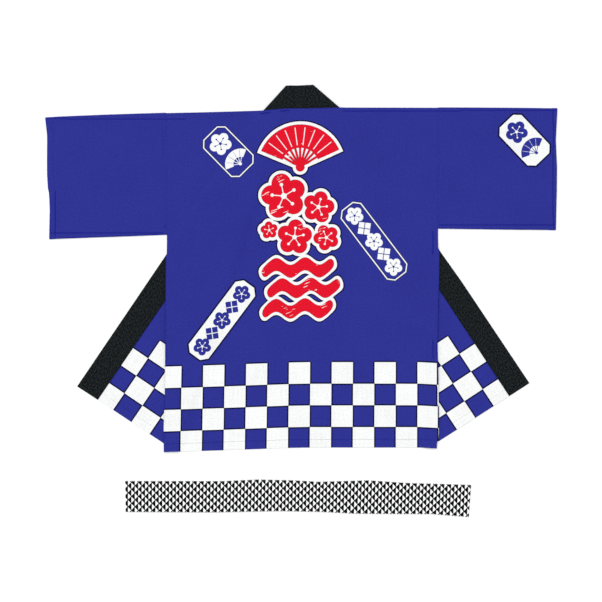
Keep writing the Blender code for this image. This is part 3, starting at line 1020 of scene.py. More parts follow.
def neck_shape(sizes):
    """The collar above the back's neck edge."""
    step = sizes.mesh / MM
    top = (LEFT.collar_tip, RIGHT.collar_tip)
    ends = ((LEFT.collar_tip, LEFT.neck), (RIGHT.collar_tip, RIGHT.neck))
    down = stations(BAND_WIDTH, step)
    plan = patch(top, NECK_EDGE, *ends, stations(NECK_GRID, step), down)
    width = np.broadcast_to((1.0 - down)[:, None] * BAND_WIDTH, plan.shape[:-1])
    cut = np.stack([width, plan[..., 0]], axis=-1)
    return even(raised(plan, neck_surface(plan, sizes)[0]), sizes.collar / MM, cut)


def belt_shape(sizes):
    """A strip doubled end to end, folded at its left end."""
    cloth = sizes.cloth / MM
    step = sizes.mesh / MM
    long, high = BELT_GRID
    down = stations(high, step)
    ends = ((BELT_TOP[0], BELT_FOOT[0]), (BELT_TOP[-1], BELT_FOOT[-1]))
    across = stations(long, step, ends=(False, True))
    plan = patch(BELT_TOP, BELT_FOOT, *ends, across, down)
    relief = BELT_WAVES * slack(plan, 14.0) * sizes.slack / MM
    upper = BACK_OVER_FRONT + cloth / 2 + BELT_LIFT + relief
    lower = np.full(plan.shape[:-1], cloth / 2)
    rolled = folded_edge(plan[:, 0], (-1.0, 0.0), lower[:, 0], upper[:, 0])
    middle = side_by_side(raised(plan, lower)[:, ::-1], rolled, raised(plan, upper))
    width = np.broadcast_to((down * high)[:, None], middle.shape[:-1])
    middle_line = (plan[:1, :, 1] + plan[-1:, :, 1]) / 2
    leaning = np.interp(plan[..., 0], *zip(*BELT_LEANS)) * (plan[..., 1] - middle_line)
    top_run = plan[..., 0] + leaning
    lower_run = 2 * BELT_TOP[0][0] - top_run[:, ::-1]
    run = side_by_side(lower_run, rolled[..., 0], top_run)
    return even(middle, cloth, np.stack([run, -width], axis=-1))


# Stitches


def stitch_template():
    """The corners and faces of one stitch: a short grain of thread, 1 long, 1 wide, 1 high."""
    bpy.ops.object.select_all(action="DESELECT")
    rings = {"segments": STITCH_SIDES, "ring_count": STITCH_RINGS}
    bpy.ops.mesh.primitive_uv_sphere_add(radius=0.5, **rings)
    grain = bpy.context.active_object
    corners = np.array([vertex.co[:] for vertex in grain.data.vertices])
    faces = sorted(list(face.vertices) for face in grain.data.polygons)
    bpy.data.objects.remove(grain)
    return corners, faces


def stitch_row(path, surface, sizes, shown=None):
    """Where each stitch of a row lies: its middle and the way it runs."""
    count = max(int(length_of(path) / (sizes.stitch_pitch / MM)), 2)
    shares = (np.arange(count) + 0.5) / count
    plan = along(path, shares)
    ahead = np.minimum(shares + STITCH_REACH, 1.0)
    run = along(path, ahead) - along(path, shares - STITCH_REACH)
    if shown is not None:
        keep = shown(plan)
        plan, run = plan[keep], run[keep]
    middle, thickness = surface(plan)
    turn = np.arctan2(run[:, 1], run[:, 0])
    return raised(plan, middle + thickness / 2), turn


def stitches(name, lines, surface, sizes, material, slot, shown=None, fine=1.0):
    """One piece of all the stitches along some lines, each a copy of one grain."""
    corners, faces = stitch_template()
    thick = sizes.thread / MM * fine
    x = corners[:, 0] * sizes.stitch_length / MM
    y = corners[:, 1] * thick
    z = corners[:, 2] * thick * STITCH_FLAT + thick * STITCH_LIFT
    points, polygons = [], []
    for line in lines:
        for place, turn in zip(*stitch_row(line, surface, sizes, shown)):
            cos, sin = math.cos(turn), math.sin(turn)
            moved = np.stack([x * cos - y * sin, x * sin + y * cos, z], axis=-1) + place
            first = len(points) * len(corners)
            points.append(moved)
            polygons += [[first + index for index in face] for face in faces]
    mesh = bpy.data.meshes.new(name)
    mesh.from_pydata(in_row(np.concatenate(points)).tolist(), [], polygons)
    mesh.shade_smooth()
    mesh.materials.append(material)
    piece = linked(name, mesh)
    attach(piece, "root")


# Shader sums


class Term:
    """A value in a node tree: sums written with it become math nodes."""

    def __init__(self, sums, socket):
        self.sums = sums
        self.socket = socket

    def __add__(self, other):
        return self.sums.calc("ADD", self, other)

    def __radd__(self, other):
        return self.sums.calc("ADD", other, self)

    def __sub__(self, other):
        return self.sums.calc("SUBTRACT", self, other)

    def __rsub__(self, other):
        return self.sums.calc("SUBTRACT", other, self)

    def __mul__(self, other):
        return self.sums.calc("MULTIPLY", self, other)

    def __truediv__(self, other):
        return self.sums.calc("DIVIDE", self, other)

    def __mod__(self, other):
        return self.sums.calc("FLOORED_MODULO", self, other)

    def __gt__(self, other):
        return self.sums.calc("GREATER_THAN", self, other)

    def __lt__(self, other):
        return self.sums.calc("LESS_THAN", self, other)

    def __abs__(self):
        return self.sums.calc("ABSOLUTE", self)


class Sums:
    """Writes sums as shader nodes in one tree."""

    def __init__(self, tree):
        self.tree = tree

    def plug(self, socket, value):
        """Links a term to a socket, or sets the socket to a plain value."""
        if isinstance(value, Term):
            self.tree.links.new(value.socket, socket)
        else:
            socket.default_value = value

    def node(self, kind, inputs=None, **settings):
        """A new node with its settings and its inputs, by name or number."""
        node = self.tree.nodes.new(kind)
        for name, value in settings.items():
            setattr(node, name, value)
        for name, value in (inputs or {}).items():
            self.plug(node.inputs[name], value)
        return node

    def term(self, kind, inputs=None, output=0, **settings):
        """One output of a new node."""
        return Term(self, self.node(kind, inputs, **settings).outputs[output])

    def calc(self, operation, *values, clamp=False):
        inputs = dict(enumerate(values))
        return self.term("ShaderNodeMath", inputs, operation=operation, use_clamp=clamp)

    def least(self, *values):
        return reduce(partial(self.calc, "MINIMUM"), values)

    def most(self, *values):
        return reduce(partial(self.calc, "MAXIMUM"), values)

    def length(self, x, y):
        return self.calc("SQRT", x * x + y * y)

    def split(self, vector):
        """The x and y of a vector."""
        node = self.node("ShaderNodeSeparateXYZ", {0: vector})
        return Term(self, node.outputs[0]), Term(self, node.outputs[1])

    def placed(self, vector, x, y, turn=0.0):
        """The vector as seen from a place on the cut, turned."""
        inputs = {"Vector": vector, "Location": (x, y, 0.0), "Rotation": (0.0, 0.0, turn)}
        return self.term("ShaderNodeMapping", inputs, vector_type="TEXTURE")

    def noise(self, vector, scale, detail=2.0, stretch=(1.0, 1.0, 1.0)):
        """Noise from 0 to 1, at a scale in features a metre."""
        spread = self.term("ShaderNodeMapping", {"Vector": vector, "Scale": stretch})
        inputs = {"Vector": spread, "Scale": scale, "Detail": detail}
        return self.term("ShaderNodeTexNoise", inputs, "Fac")

    def inside(self, distance, soft=0.0003):
        """1 where a distance is less than nothing, with a soft edge."""
        return self.calc("MULTIPLY_ADD", distance, -1.0 / soft, 0.5, clamp=True)

    def solid(self, colour):
        node = self.node("ShaderNodeRGB")
        node.outputs[0].default_value = (*colour, 1.0)
        return Term(self, node.outputs[0])

    def over(self, base, colour, mask):
        """A colour laid over another where the mask is."""
        inputs = {"Factor": mask, "A": base, "B": self.solid(colour)}
        return self.term("ShaderNodeMix", inputs, "Result", data_type="RGBA")

    def scaled(self, colour, share):
        inputs = {0: colour, "Scale": share}
        return self.term("ShaderNodeVectorMath", inputs, operation="SCALE")

    def bumped(self, height, strength, distance):
        """The normal of a surface with a fine relief."""
        inputs = {"Strength": strength, "Distance": distance, "Height": height}
        return self.term("ShaderNodeBump", inputs)

    def attribute(self, name):
        return self.term("ShaderNodeAttribute", output="Fac", attribute_name=name)


def effect(name, inputs, *outputs):
    """Keeps what a function writes in a node group, made at first use, and uses the group."""

    def new_group(write):
        tree = bpy.data.node_groups.new(name, "ShaderNodeTree")
        for label, default in inputs.items():
            kind = "NodeSocketVector" if default is None else "NodeSocketFloat"
            socket = tree.interface.new_socket(name=label, in_out="INPUT", socket_type=kind)
            if default is not None:
                socket.default_value = default
        for label in outputs:
            kind = "NodeSocketFloat"
            tree.interface.new_socket(name=label, in_out="OUTPUT", socket_type=kind)
        sums = Sums(tree)
        entry = list(sums.node("NodeGroupInput").outputs)[: len(inputs)]
        results = write(sums, *(Term(sums, socket) for socket in entry))
        sums.node("NodeGroupOutput", dict(enumerate(results)))
        return tree

    def grouped(write):
        def use(sums, *values):
            tree = bpy.data.node_groups.get(name) or new_group(write)
            node = sums.node("ShaderNodeGroup", dict(enumerate(values)), node_tree=tree)
            return [Term(sums, socket) for socket in node.outputs]

        return use

    return grouped


@effect("Plain weave", {"Place": None, "Thread pitch": 0.0005, "Slub": 0.5}, "Height", "Shade")
def plain_weave(sums, place, pitch, slub):
    """Threads over and under: their height, and the uneven shade of single threads."""
    warp, weft = (sums.calc("SINE", way * math.pi / pitch) for way in sums.split(place))
    long_threads = sums.noise(place, LONG_SCALE, THREAD_DETAIL, (1.0, THREAD_STRETCH, 1.0))
    cross_threads = sums.noise(place, CROSS_SCALE, THREAD_DETAIL, (THREAD_STRETCH, 1.0, 1.0))
    threads = long_threads * LONG_SHARE + cross_threads * (1.0 - LONG_SHARE)
    return abs(warp * weft), (threads - 0.5) * slub


@effect("Dye", {"Place": None, "Broad": 0.1, "Flecks": 0.3, "Lint": 0.03}, "Shade", "Fluff")
def dye(sums, place, broad, flecks, lint):
    """How evenly the cloth took its dye, and the pale fluff on it, both about nothing."""
    clouds = (sums.noise(place, CLOUD_SCALE, CLOUD_DETAIL) - 0.5) * broad
    close = (sums.noise(place, FLECK_SCALE) - 0.5) * flecks
    return clouds + close, (sums.noise(place, LINT_SCALE) - 0.5) * lint


CHECK_INPUTS = {
    "Place": None,
    "First column": 0.0,
    "Column width": 0.05,
    "First row": 0.048,
    "Row height": 0.0509,
    "Start": 0.0,
    "Bleed": 0.0002,
    "Rim": 0.003,
}


@effect("Checks", CHECK_INPUTS, "White", "Rim")
def checks(sums, place, first_column, width, first_row, height, start, bleed, rim):
    """The squares above a hem: the white ones, and the dark rim of the blue ones.

    A row lies along the hem and three more above it. The blue ground over them has a rim
    along their white squares alone, and the blue squares at the hem have none there.
    """
    x, y = sums.split(place)
    column = (x - first_column) / width
    row = (y - first_row) / height
    column_index, row_index = sums.calc("FLOOR", column), sums.calc("FLOOR", row)

    def is_white(row_number):
        return (column_index + row_number + start) % 2.0 > 0.5

    printed = row < CHECK_ROWS
    white = is_white(row_index) * printed
    sideways = abs(column - sums.calc("ROUND", column)) * width + (1.0 - printed)
    up = row - row_index
    over_blue = (1.0 - is_white(CHECK_ROWS - 1.0)) * (1.0 - printed)
    below = up * height + (row > CHECK_ROWS + 1.0) + over_blue + (row < 0.0)
    above = (1.0 - up) * height + (row > CHECK_ROWS - 1.0) * (1.0 - white)
    depth = sums.least(sideways, below, above)
    clean = white * (1.0 - sums.inside(depth - bleed))
    return clean, sums.inside(depth - rim) * (1.0 - clean)


OCTAGON_INPUTS = {"Place": None, "Half width": 0.03, "Half length": 0.1, "Corner": 0.014}


@effect("Octagon", OCTAGON_INPUTS, "Distance")
def octagon(sums, place, wide, long, corner):
    """How far outside a long eight-sided label a place is."""
    x, y = map(abs, sums.split(place))
    slant = (x + y - (wide + long - corner)) * math.sqrt(0.5)
    return [sums.most(x - wide, y - long, slant)]


# Motifs. Plain numbers beside their size are shares of it.


@effect("Plum blossom", {"Place": None, "Radius": 0.03}, "Petals", "Marks")
def blossom(sums, place, size):
    """A five-petalled plum blossom: its petals, and the marks in its middle."""
    x, y = sums.split(place)
    fifth = 2.0 * math.pi / 5.0
    petal_turn = (sums.calc("ARCTAN2", x, y) + fifth / 2.0) % fifth - fifth / 2.0
    reach = sums.length(x, y)
    out = reach * sums.calc("COSINE", petal_turn)
    aside = reach * sums.calc("SINE", petal_turn)

    def circle(place_share, size_share):
        return sums.length(out - size * place_share, aside) - size * size_share

    petals = sums.least(circle(0.58, 0.42), circle(0.2, 0.3))
    stamen = sums.most(abs(aside) - size * 0.022, out - size * 0.5)
    return petals, sums.least(circle(0.0, 0.13), circle(0.52, 0.075), stamen)


@effect("Open fan", {"Place": None, "Radius": 0.1, "Rib turn": 0.2}, "Fan", "Folds")
def open_fan(sums, place, size, rib):
    """A folding fan spread open: its paper and sticks, and the folds in its paper."""
    x, y = sums.split(place)
    turn = sums.calc("ARCTAN2", x, y)
    reach = sums.length(x, y)
    half_rib = rib * 0.5
    beside = (abs(turn) - FAN_SPREAD) * reach
    paper = sums.most(reach - size, size * 0.46 - reach, beside)
    rib_turn = abs((turn + half_rib) % rib - half_rib)
    stick = sums.most(rib_turn * reach - size * 0.022, reach - size * 0.5, beside)
    folds = sums.most(
        (half_rib - rib_turn) * reach - size * 0.010,
        size * 0.52 - reach,
        reach - size * 0.94,
        beside + size * 0.02,
    )
    return sums.least(paper, stick, reach - size * 0.1), folds


WATER_INPUTS = {
    "Place": None, "Half length": 0.09, "Half width": 0.013, "Swell": 0.01, "Wave": 0.1
}


@effect("Flowing water", WATER_INPUTS, "Distance")
def water_band(sums, place, long, wide, swell, wave):
    """A thick wavy stroke of flowing water, round at both ends."""
    x, y = sums.split(place)
    away = y - sums.calc("SINE", x * (2.0 * math.pi) / wave) * swell
    return [sums.length(sums.most(abs(x) - long, 0.0), away) - wide]


@effect("Four diamonds", {"Place": None, "Radius": 0.016}, "Distance")
def diamond_leaves(sums, place, size):
    """Four small diamonds set as one, as on a tied cloth."""
    x, y = map(abs, sums.split(place))
    return [sums.most(x + y - size, size * 0.07 - abs(x - y)) * math.sqrt(0.5)]


TRIANGLE_INPUTS = {"Place": None, "Column width": 0.00815, "Row height": 0.0164}


@effect("Triangles", TRIANGLE_INPUTS, "Dark")
def triangle_band(sums, place, column_width, row_height):
    """Rows of small triangles that point to the left: 1 on the dark ones."""
    x, y = sums.split(place)
    column = x / column_width
    index = sums.calc("FLOOR", column)
    row = y / row_height + index % 2.0 * 0.5
    edge = abs(row % 1.0 - 0.5) - ((column - index) * 0.5 + 0.073)
    return [sums.inside(edge, 0.012)]


# What is printed: each motif with its place, its turn if it has one, and its sizes

RIBS_OF_SMALL_FAN = 5
RIBS_OF_LARGE_FAN = 9
WATER = (0.0148, 0.0085, 0.068)
LONG_LABEL_MOTIFS = (
    *((blossom, (0.0, up), 0.0212) for up in (-0.0756, 0.0, 0.0756)),
    *((diamond_leaves, (0.0, up), 0.0195) for up in (-0.0378, 0.0378)),
)
SHORT_LABEL_MOTIFS = (
    (open_fan, (0.0, -0.041), 0.036, FAN_SPREAD * 2.0 / RIBS_OF_SMALL_FAN),
    (blossom, (0.0, 0.027), 0.0265),
)
LARGE_PRINT = (
    (open_fan, (0.0, 0.124), 0.1, FAN_SPREAD * 2.0 / RIBS_OF_LARGE_FAN),
    (blossom, (-0.039, 0.057, 0.2), 0.053),
    (blossom, (0.043, 0.030, -0.25), 0.037),
    (blossom, (-0.014, -0.040, -0.1), 0.041),
    (blossom, (-0.074, -0.022, 0.1), 0.020),
    (blossom, (0.061, -0.042, 0.4), 0.030),
    (water_band, (-0.006, -0.112), 0.070, *WATER),
    (water_band, (0.008, -0.160), 0.071, *WATER),
    (water_band, (-0.006, -0.208), 0.068, *WATER),
)


def motifs(sums, seen, layout):
    """The distances to the nearest motif of a layout, and to the nearest mark in them."""
    shapes, marks = [], []
    for motif, place, *sizes in layout:
        shape, *mark = motif(sums, sums.placed(seen, *place), *sizes)
        shapes.append(shape)
        marks += mark
    return sums.least(*shapes), sums.least(*marks)


# Materials


def new_material(name):
    """A material, its shader and a way to write sums in it."""
    material = bpy.data.materials.new(name)
    material.use_nodes = True
    tree = material.node_tree
    return material, tree.nodes["Principled BSDF"], Sums(tree)


class Cotton:
    """A cotton material under way: its sums, its place on the cut and its colour."""

    def __init__(self, name, colour, finish):
        self.material, self.shader, self.sums = new_material(name)
        self.finish = finish
        self.cut = self.sums.term("ShaderNodeUVMap", uv_map="cut")
        self.rough_edge = (self.sums.noise(self.cut, EDGE_SCALE) - 0.5) * EDGE_UNEVEN
        self.colour = self.sums.solid(colour)

    def paint(self, colour, mask):
        self.colour = self.sums.over(self.colour, colour, mask)

    def inside(self, distance, grow=0.0):
        """The mask of a printed shape, its edge a little uneven, grown by a width."""
        return self.sums.inside(distance + self.rough_edge - grow, PRINT_EDGE)

    def ring(self, distance, middle, width):
        return self.sums.inside(abs(distance - middle) - width / 2.0, PRINT_EDGE)

    def checks(self, place, rows, colours, sizes):
        white, rim = checks(self.sums, place, *rows, sizes.bleed, sizes.rim)
        self.paint(colours.white, white)
        self.paint(colours.keyline, rim)

    def done(self, weave):
        """Weaves the colour: threads, dye, pale wrong side, painted shade, roughness and bump.
        """
        sums, finish = self.sums, self.finish
        height, uneven = plain_weave(sums, self.cut, finish.thread_pitch, weave.slub)
        dyed, fluff = dye(sums, self.cut, weave.shade, weave.flecks, LINT)
        pressed = sums.attribute("pressed")
        if weave.wrong_side:
            wrong = (1.0 - sums.attribute("right_side")) * weave.wrong_side
            self.paint(WRONG_SIDE, wrong)
        # Painted shade beside creases, seams and rims: the colour deepened and darkened, and
        # past 1 darker still, as in deep shade.
        crease_shade = {
            "Saturation": CREASE_SHADE_SATURATION,
            "Value": CREASE_SHADE_VALUE,
            "Fac": sums.least(pressed, 1.0),
            "Color": self.colour,
        }
        crease_shaded = sums.term("ShaderNodeHueSaturation", crease_shade)
        in_shade = sums.most(pressed - 1.0, 0.0) * -SHADE_DARKENS
        shade = sums.most(1.0 + uneven + dyed + in_shade, LEAST_SHADE)
        woven = {0: sums.scaled(crease_shaded, shade), 1: fluff}
        roughness = (uneven, SLUB_ROUGHNESS, finish.roughness)
        looks = {
            "Base Color": sums.term("ShaderNodeVectorMath", woven, operation="ADD"),
            "Roughness": sums.calc("MULTIPLY_ADD", *roughness, clamp=True),
            "Normal": sums.bumped(uneven * SLUB_HEIGHT + height, weave.bump, WEAVE_HEIGHT),
            "Specular IOR Level": GLOSS,
            "Sheen Weight": finish.sheen,
            "Sheen Roughness": SHEEN_ROUGHNESS,
        }
        for name, value in looks.items():
            sums.plug(self.shader.inputs[name], value)
        return self.material


def label(cotton, place, turn, half_size, filled, colours):
    """A long eight-sided label on the blue, a white plate or a white outline."""
    sums = cotton.sums
    seen = sums.placed(cotton.cut, *place, math.radians(turn))
    (distance,) = octagon(sums, seen, *half_size, LABEL_CORNER)
    if filled:
        ground, mark = colours.white, colours.blue
        cotton.paint(colours.keyline, cotton.inside(distance, PLATE_LINE))
        cotton.paint(colours.white, cotton.inside(distance, -PLATE_INSET))
    else:
        ground, mark = colours.blue, colours.white
        cotton.paint(colours.keyline, cotton.ring(distance, OUTLINE_MIDDLE, OUTLINE_LINE))
        cotton.paint(colours.white, cotton.ring(distance, OUTLINE_MIDDLE, OUTLINE_WIDTH))
    layout = LONG_LABEL_MOTIFS if half_size[1] > LONG_LABEL else SHORT_LABEL_MOTIFS
    shapes, marks = motifs(sums, seen, layout)
    cotton.paint(mark, cotton.inside(shapes))
    cotton.paint(ground, cotton.inside(marks))


def festive_print(cotton, place, colours):
    """The large print of the back: a fan over plum blossoms over flowing water."""
    sums = cotton.sums
    seen = sums.placed(cotton.cut, *place)
    distance, marks = motifs(sums, seen, LARGE_PRINT)
    turned = sums.placed(seen, 0.0, 0.0, STREAK_TURN)
    streaks = sums.noise(turned, STREAK_SCALE, 2.0, STREAK_STRETCH) > STREAK_LEAST
    dry = (sums.noise(seen, DRY_SCALE, 1.0) > DRY_LEAST) * streaks
    for name, reach in PRINT_LINES:
        cotton.paint(getattr(colours, name), cotton.inside(distance, reach))
    cotton.paint(colours.white, cotton.inside(marks))
    cotton.paint(colours.white, dry * cotton.inside(distance))


def back_cotton(sizes, colours, finish):
    cotton = Cotton("printed_cotton_back", colours.blue, finish)
    rows = (BACK_COLUMN, sizes.check_width, sizes.first_check, sizes.check_height, 0.0)
    cotton.checks(cotton.cut, rows, colours, sizes)
    for centre, *look in BACK_LABELS:
        label(cotton, back_cut(np.array(centre)) * MM, *look, colours)
    festive_print(cotton, back_cut(np.array(PRINT_MIDDLE)) * MM, colours)
    return cotton.done(PRINTED_WEAVE)


def front_cotton(sizes, colours, finish):
    cotton = Cotton("printed_cotton_front", colours.blue, finish)
    printed = cotton.sums.placed(cotton.cut, 0.0, 0.0, FRONT_TURN)
    cotton.checks(printed, FRONT_CHECKS, colours, sizes)
    return cotton.done(PRINTED_WEAVE)


def sleeve_cotton(half, colours, finish):
    cotton = Cotton(f"blue_cotton_{half.name}", colours.blue, finish)
    for centre, *look in half.sleeve_labels:
        label(cotton, np.array(centre) * MM, *look, colours)
    return cotton.done(PRINTED_WEAVE)


def black_cotton(colours, finish):
    cotton = Cotton("black_cotton_collar", colours.black, finish)
    x = cotton.sums.split(cotton.cut)[0]
    to_edge = cotton.sums.least(x, BAND_WIDTH * MM - x)
    # Painted shade along both edges of the collar band, in the dark thread's colour.
    cotton.paint(colours.dark_thread_and_edge_shade, cotton.sums.inside(to_edge, COLLAR_EDGE_SHADE))
    return cotton.done(COLLAR_WEAVE)


def belt_cotton(colours, finish):
    cotton = Cotton("triangle_cotton_belt", colours.belt_white, finish)
    place = cotton.sums.placed(cotton.cut, *BELT_START)
    (dark,) = triangle_band(cotton.sums, place, *TRIANGLE_SIZE)
    cotton.paint(colours.belt_black, dark)
    return cotton.done(BELT_WEAVE)


def thread(name, colour, finish):
    """Sewing thread: twisted strands along its own length."""
    material, shader, sums = new_material(name)
    strands = sums.noise(sums.term("ShaderNodeTexCoord", output="Object"), STRAND_SCALE)
    twisted = sums.calc("MULTIPLY_ADD", strands, *STRAND_SHADE)
    sums.plug(shader.inputs["Base Color"], sums.scaled(sums.solid(colour), twisted))
    sums.plug(shader.inputs["Normal"], sums.bumped(strands, STRAND_BUMP, STRAND_HEIGHT))
    shader.inputs["Roughness"].default_value = finish.roughness * THREAD_ROUGHNESS
    shader.inputs["Specular IOR Level"].default_value = THREAD_GLOSS
    return material


def floor_paper(colours):
    """A plain pale sheet with a trace of grain."""
    material, shader, sums = new_material("pale_floor")
    place = sums.term("ShaderNodeTexCoord", output="Object")
    grain = sums.noise(place, GRAIN_SCALE, GRAIN_DETAIL)
    share = sums.calc("MULTIPLY_ADD", grain, *GRAIN_SHADE)
    sums.plug(shader.inputs["Base Color"], sums.scaled(sums.solid(colours.floor), share))
    shader.inputs["Roughness"].default_value = FLOOR_ROUGHNESS
    shader.inputs["Specular IOR Level"].default_value = 0.0
    return material


# What a user may change


def linear(*channels):
    """A display colour, 0 to 255, as a linear one."""
    shares = [channel / 255 for channel in channels]
    return tuple(s / 12.92 if s <= 0.04045 else ((s + 0.055) / 1.055) ** 2.4 for s in shares)


def number(name, description, default, **look):
    return bpy.props.FloatProperty(name=name, description=description, default=default, **look)


size = partial(number, min=0.00001, unit="LENGTH", precision=5)
amount = partial(number, min=0.0, max=1.0, subtype="FACTOR")


def colour(name, description, *channels):
    look = {"min": 0.0, "max": 1.0, "subtype": "COLOR", "default": linear(*channels)}
    return bpy.props.FloatVectorProperty(name=name, description=description, **look)


class HappiSizes(bpy.types.PropertyGroup):
    """Sizes of the cloth, its checks and its stitches."""

    cloth: size("Cloth", "Thickness of one layer of cotton", 0.0007)
    collar: size("Collar", "Thickness of the collar's folded cloth", 0.0012)
    slack: size("Slack", "How high the cloth's soft waves stand", 0.001)
    mesh: size("Mesh step", "Distance between the points of the cloth", 0.0038)
    check_width: size("Check width", "Width of a printed square of the back", 0.05034)
    check_height: size("Check height", "Height of a printed square of the back", 0.0509)
    first_check: size("Hem check", "Height of the row of squares at the hem", 0.0482)
    bleed: size("Bleed", "How far a dark rim spreads into a white square", 0.00025)
    rim: size("Rim", "Width of the dark rim in a blue square", 0.00305)
    stitch_pitch: size("Stitch pitch", "From one stitch to the next", 0.0036)
    stitch_length: size("Stitch length", "Length of the thread that shows", 0.0027)
    thread: size("Thread", "Thickness of the sewing thread", 0.00045)


class HappiColours(bpy.types.PropertyGroup):
    """Colours of the cloth, the prints and the threads."""

    blue: colour("Blue", "Ground of the coat", 42, 46.5, 138)
    white: colour("White", "Undyed cotton", 235.5, 237.5, 236.5)
    belt_white: colour("Belt white", "White cotton of the belt", 246, 247, 247)
    red: colour("Red", "The large print", 217, 16, 40)
    keyline: colour("Keyline", "Thin dark line where colours meet", 4, 5, 54)
    black: colour("Black", "The collar", 20, 25, 27)
    belt_black: colour("Belt black", "Triangles of the belt", 4, 4, 5)
    thread: colour("Thread", "Sewing thread on blue cloth", 28, 32, 124)
    # The dark thread's colour is also painted as shade along the collar's edges.
    dark_thread_and_edge_shade: colour("Dark thread", "Sewing thread on the collar", 12, 13, 14)
    floor: colour("Floor", "What the coat lies on", 252, 252, 252)


class HappiFinish(bpy.types.PropertyGroup):
    """Surface of the cotton."""

    roughness: amount("Roughness", "How matt the cotton is", 0.88)
    sheen: amount("Sheen", "Soft glow of loose fibres at a low angle", 0.03)
    thread_pitch: size("Thread pitch", "From one woven thread to the next", 0.0005)


# Operators


class Making:
    """What the operators share: each makes its pieces from the scene's settings."""

    def execute(self, context):
        scene = context.scene
        self.make(scene.happi_sizes, scene.happi_colours, scene.happi_finish)
        return {"FINISHED"}


class HappiBack(Making, bpy.types.Operator):
    """The back panel with its checks, labels and large print"""

    bl_idname = "happi.back"
    bl_label = "Back"

    def make(self, sizes, colours, finish):
        cloth = back_shape(sizes)
        material = back_cotton(sizes, colours, finish)
        rests_on = ("front_left", "front_right", "collar_left", "collar_right")
        names = ("back_panel", "back", "printed_cotton")
        cut_piece(*names, material, cloth, (20, 20), "laid", rests_on, hemmed=True)


class HappiFronts(Making, bpy.types.Operator):
    """The two fronts, folded and turned out past the sides"""

    bl_idname = "happi.fronts"
    bl_label = "Fronts"

    def make(self, sizes, colours, finish):
        material = front_cotton(sizes, colours, finish)
        for half in (LEFT, RIGHT):
            names = (f"front_panel_{half.name}", f"front_{half.name}", "printed_cotton")
            cut_piece(*names, material, front_shape(half, sizes), (-20, 10), hemmed=True)


class HappiSleeves(Making, bpy.types.Operator):
    """The two sleeves, each a tube pressed flat"""

    bl_idname = "happi.sleeves"
    bl_label = "Sleeves"

    def make(self, sizes, colours, finish):
        for half in (LEFT, RIGHT):
            material = sleeve_cotton(half, colours, finish)
            names = (f"sleeve_tube_{half.name}", f"sleeve_{half.name}", "printed_cotton")
            cut_piece(*names, material, sleeve_shape(half, sizes), (20, -30), closed=True)


class HappiCollar(Making, bpy.types.Operator):
    """The black collar: a band along each front, and the neck between them"""

    bl_idname = "happi.collar"
    bl_label = "Collar"

    def make(self, sizes, colours, finish):
        material = black_cotton(colours, finish)
        for half in (LEFT, RIGHT):
            names = (f"collar_band_{half.name}", f"collar_{half.name}", "black_cotton")
            cut_piece(*names, material, collar_shape(half, sizes), (20, 8))
        names = ("collar_band_neck", "collar_neck", "black_cotton")
        rests_on = ("collar_left", "collar_right")
        cut_piece(*names, material, neck_shape(sizes), (8, 8), "laid", rests_on)


class HappiBelt(Making, bpy.types.Operator):
    """The belt, doubled end to end below the hem"""

    bl_idname = "happi.belt"
    bl_label = "Belt"

    def make(self, sizes, colours, finish):
        material = belt_cotton(colours, finish)
        names = ("belt_strip", "belt", "belt_cotton")
        cut_piece(*names, material, belt_shape(sizes), (5, -40))


class HappiStitching(Making, bpy.types.Operator):
    """The rows of stitches of the hems, cuffs and collar"""

    bl_idname = "happi.stitching"
    bl_label = "Stitching"

    def make(self, sizes, colours, finish):
        blue = (thread("blue_thread", colours.thread, finish), "printed_cotton")
        dark = (thread("black_thread", colours.dark_thread_and_edge_shade, finish), "black_cotton")
        lines = [raised_line(BACK_HEM, STITCHED_HEM)]
        surface = partial(back_surface, sizes=sizes)
        stitches("stitches_back_hem", lines, surface, sizes, *blue)
        for half in (LEFT, RIGHT):

            def clear_of_back(points):
                return past_side(points, half) > STITCH_CLEAR

            lines = [half.cuff_line, half.underarm_line]
            surface = partial(sleeve_surface, half=half, sizes=sizes)
            stitches(f"stitches_sleeve_{half.name}", lines, surface, sizes, *blue)
            lines = [front_hem_line(half)]
            surface = partial(front_surface, half=half, sizes=sizes)
            name = f"stitches_front_{half.name}"
            stitches(name, lines, surface, sizes, *blue, clear_of_back, FRONT_THREAD)
            lines = [band_line(half)]
            surface = partial(band_surface, half=half, sizes=sizes)
            name = f"stitches_collar_{half.name}"
            stitches(name, lines, surface, sizes, *dark, clear_of_back)
        lines = [raised_line(NECK_EDGE, COLLAR_STITCH)]
        surface = partial(neck_surface, sizes=sizes)
        stitches("stitches_neck", lines, surface, sizes, *dark)


class HappiStage(Making, bpy.types.Operator):
    """The floor, the soft light and the camera straight above"""

    bl_idname = "happi.stage"
    bl_label = "Stage"

    def make(self, sizes, colours, finish):
        bpy.ops.object.select_all(action="DESELECT")
        bpy.ops.mesh.primitive_plane_add(size=FLOOR_WIDTH, location=(0.0, 0.0, 0.0))
        floor = bpy.context.active_object
        floor.name = "floor"
        for vertex in floor.data.vertices:
            vertex.co.z = FLOOR_HEIGHT
        floor.data.materials.append(floor_paper(colours))
        scene = bpy.context.scene
        light_stage(scene)
        camera = linked("camera", bpy.data.cameras.new("camera"))
        camera.data.lens = LENS
        camera.data.sensor_width = SENSOR
        camera.data.clip_end = FAR_CLIP
        camera.location = (*VIEW_POINT, LENS / SENSOR * VIEW_WIDTH + VIEW_LIFT)
        scene.camera = camera
        scene.view_settings.view_transform = "Standard"


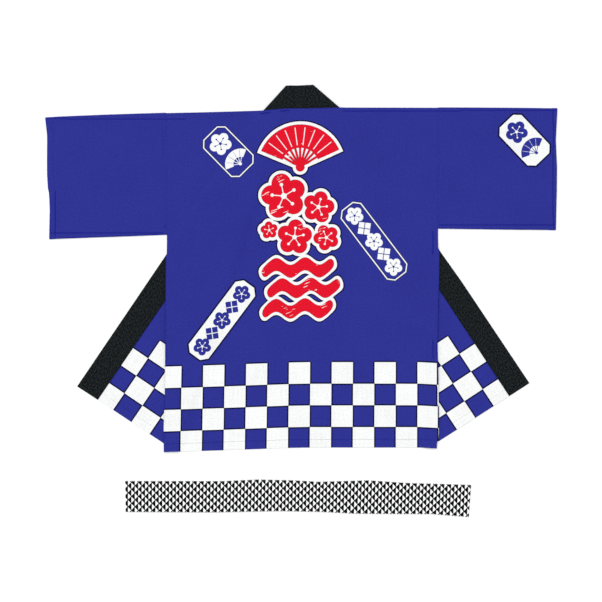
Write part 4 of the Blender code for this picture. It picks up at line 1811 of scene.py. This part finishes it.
def light_stage(scene):
    """White light from all round, and a wide soft lamp high on one side."""
    world = bpy.data.worlds.new("studio")
    world.use_nodes = True
    background = world.node_tree.nodes["Background"].inputs
    background["Color"].default_value = (1.0, 1.0, 1.0, 1.0)
    background["Strength"].default_value = ROUND_LIGHT
    scene.world = world
    lamp = bpy.data.lights.new("soft_lamp", "SUN")
    lamp.angle = math.radians(LAMP_SPREAD)
    tilt = math.radians(LAMP_TILT)
    lamp.energy = LAMP_LIGHT * math.pi / math.cos(tilt)
    linked("soft_lamp", lamp).rotation_euler = (tilt, 0.0, math.radians(LAMP_TURN))


class HappiPanel(bpy.types.Panel):
    """The coat's pieces, sizes and colours"""

    bl_idname = "VIEW3D_PT_happi_coat"
    bl_label = "Happi coat"
    bl_space_type = "VIEW_3D"
    bl_region_type = "UI"
    bl_category = "Happi coat"

    def draw(self, context):
        for operator in PIECES:
            self.layout.operator(operator.bl_idname)
        for group in GROUPS:
            settings = getattr(context.scene, group)
            box = self.layout.box()
            for name in settings.bl_rna.properties.keys():
                if name not in ("rna_type", "name"):
                    box.prop(settings, name)


PIECES = (
    HappiBack,
    HappiFronts,
    HappiSleeves,
    HappiCollar,
    HappiBelt,
    HappiStitching,
    HappiStage,
)
GROUPS = {
    "happi_sizes": HappiSizes,
    "happi_colours": HappiColours,
    "happi_finish": HappiFinish,
}


def register():
    for kind in (*GROUPS.values(), *PIECES, HappiPanel):
        bpy.utils.register_class(kind)
    for name, kind in GROUPS.items():
        setattr(bpy.types.Scene, name, bpy.props.PointerProperty(type=kind))


def unregister():
    for name in GROUPS:
        delattr(bpy.types.Scene, name)
    for kind in (HappiPanel, *reversed(PIECES), *GROUPS.values()):
        bpy.utils.unregister_class(kind)


def main():
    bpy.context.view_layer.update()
    register()
    bpy.ops.happi.stage()
    bpy.ops.happi.back()
    bpy.ops.happi.fronts()
    bpy.ops.happi.sleeves()
    bpy.ops.happi.collar()
    bpy.ops.happi.belt()
    bpy.ops.happi.stitching()


if __name__ == "__main__":
    main()
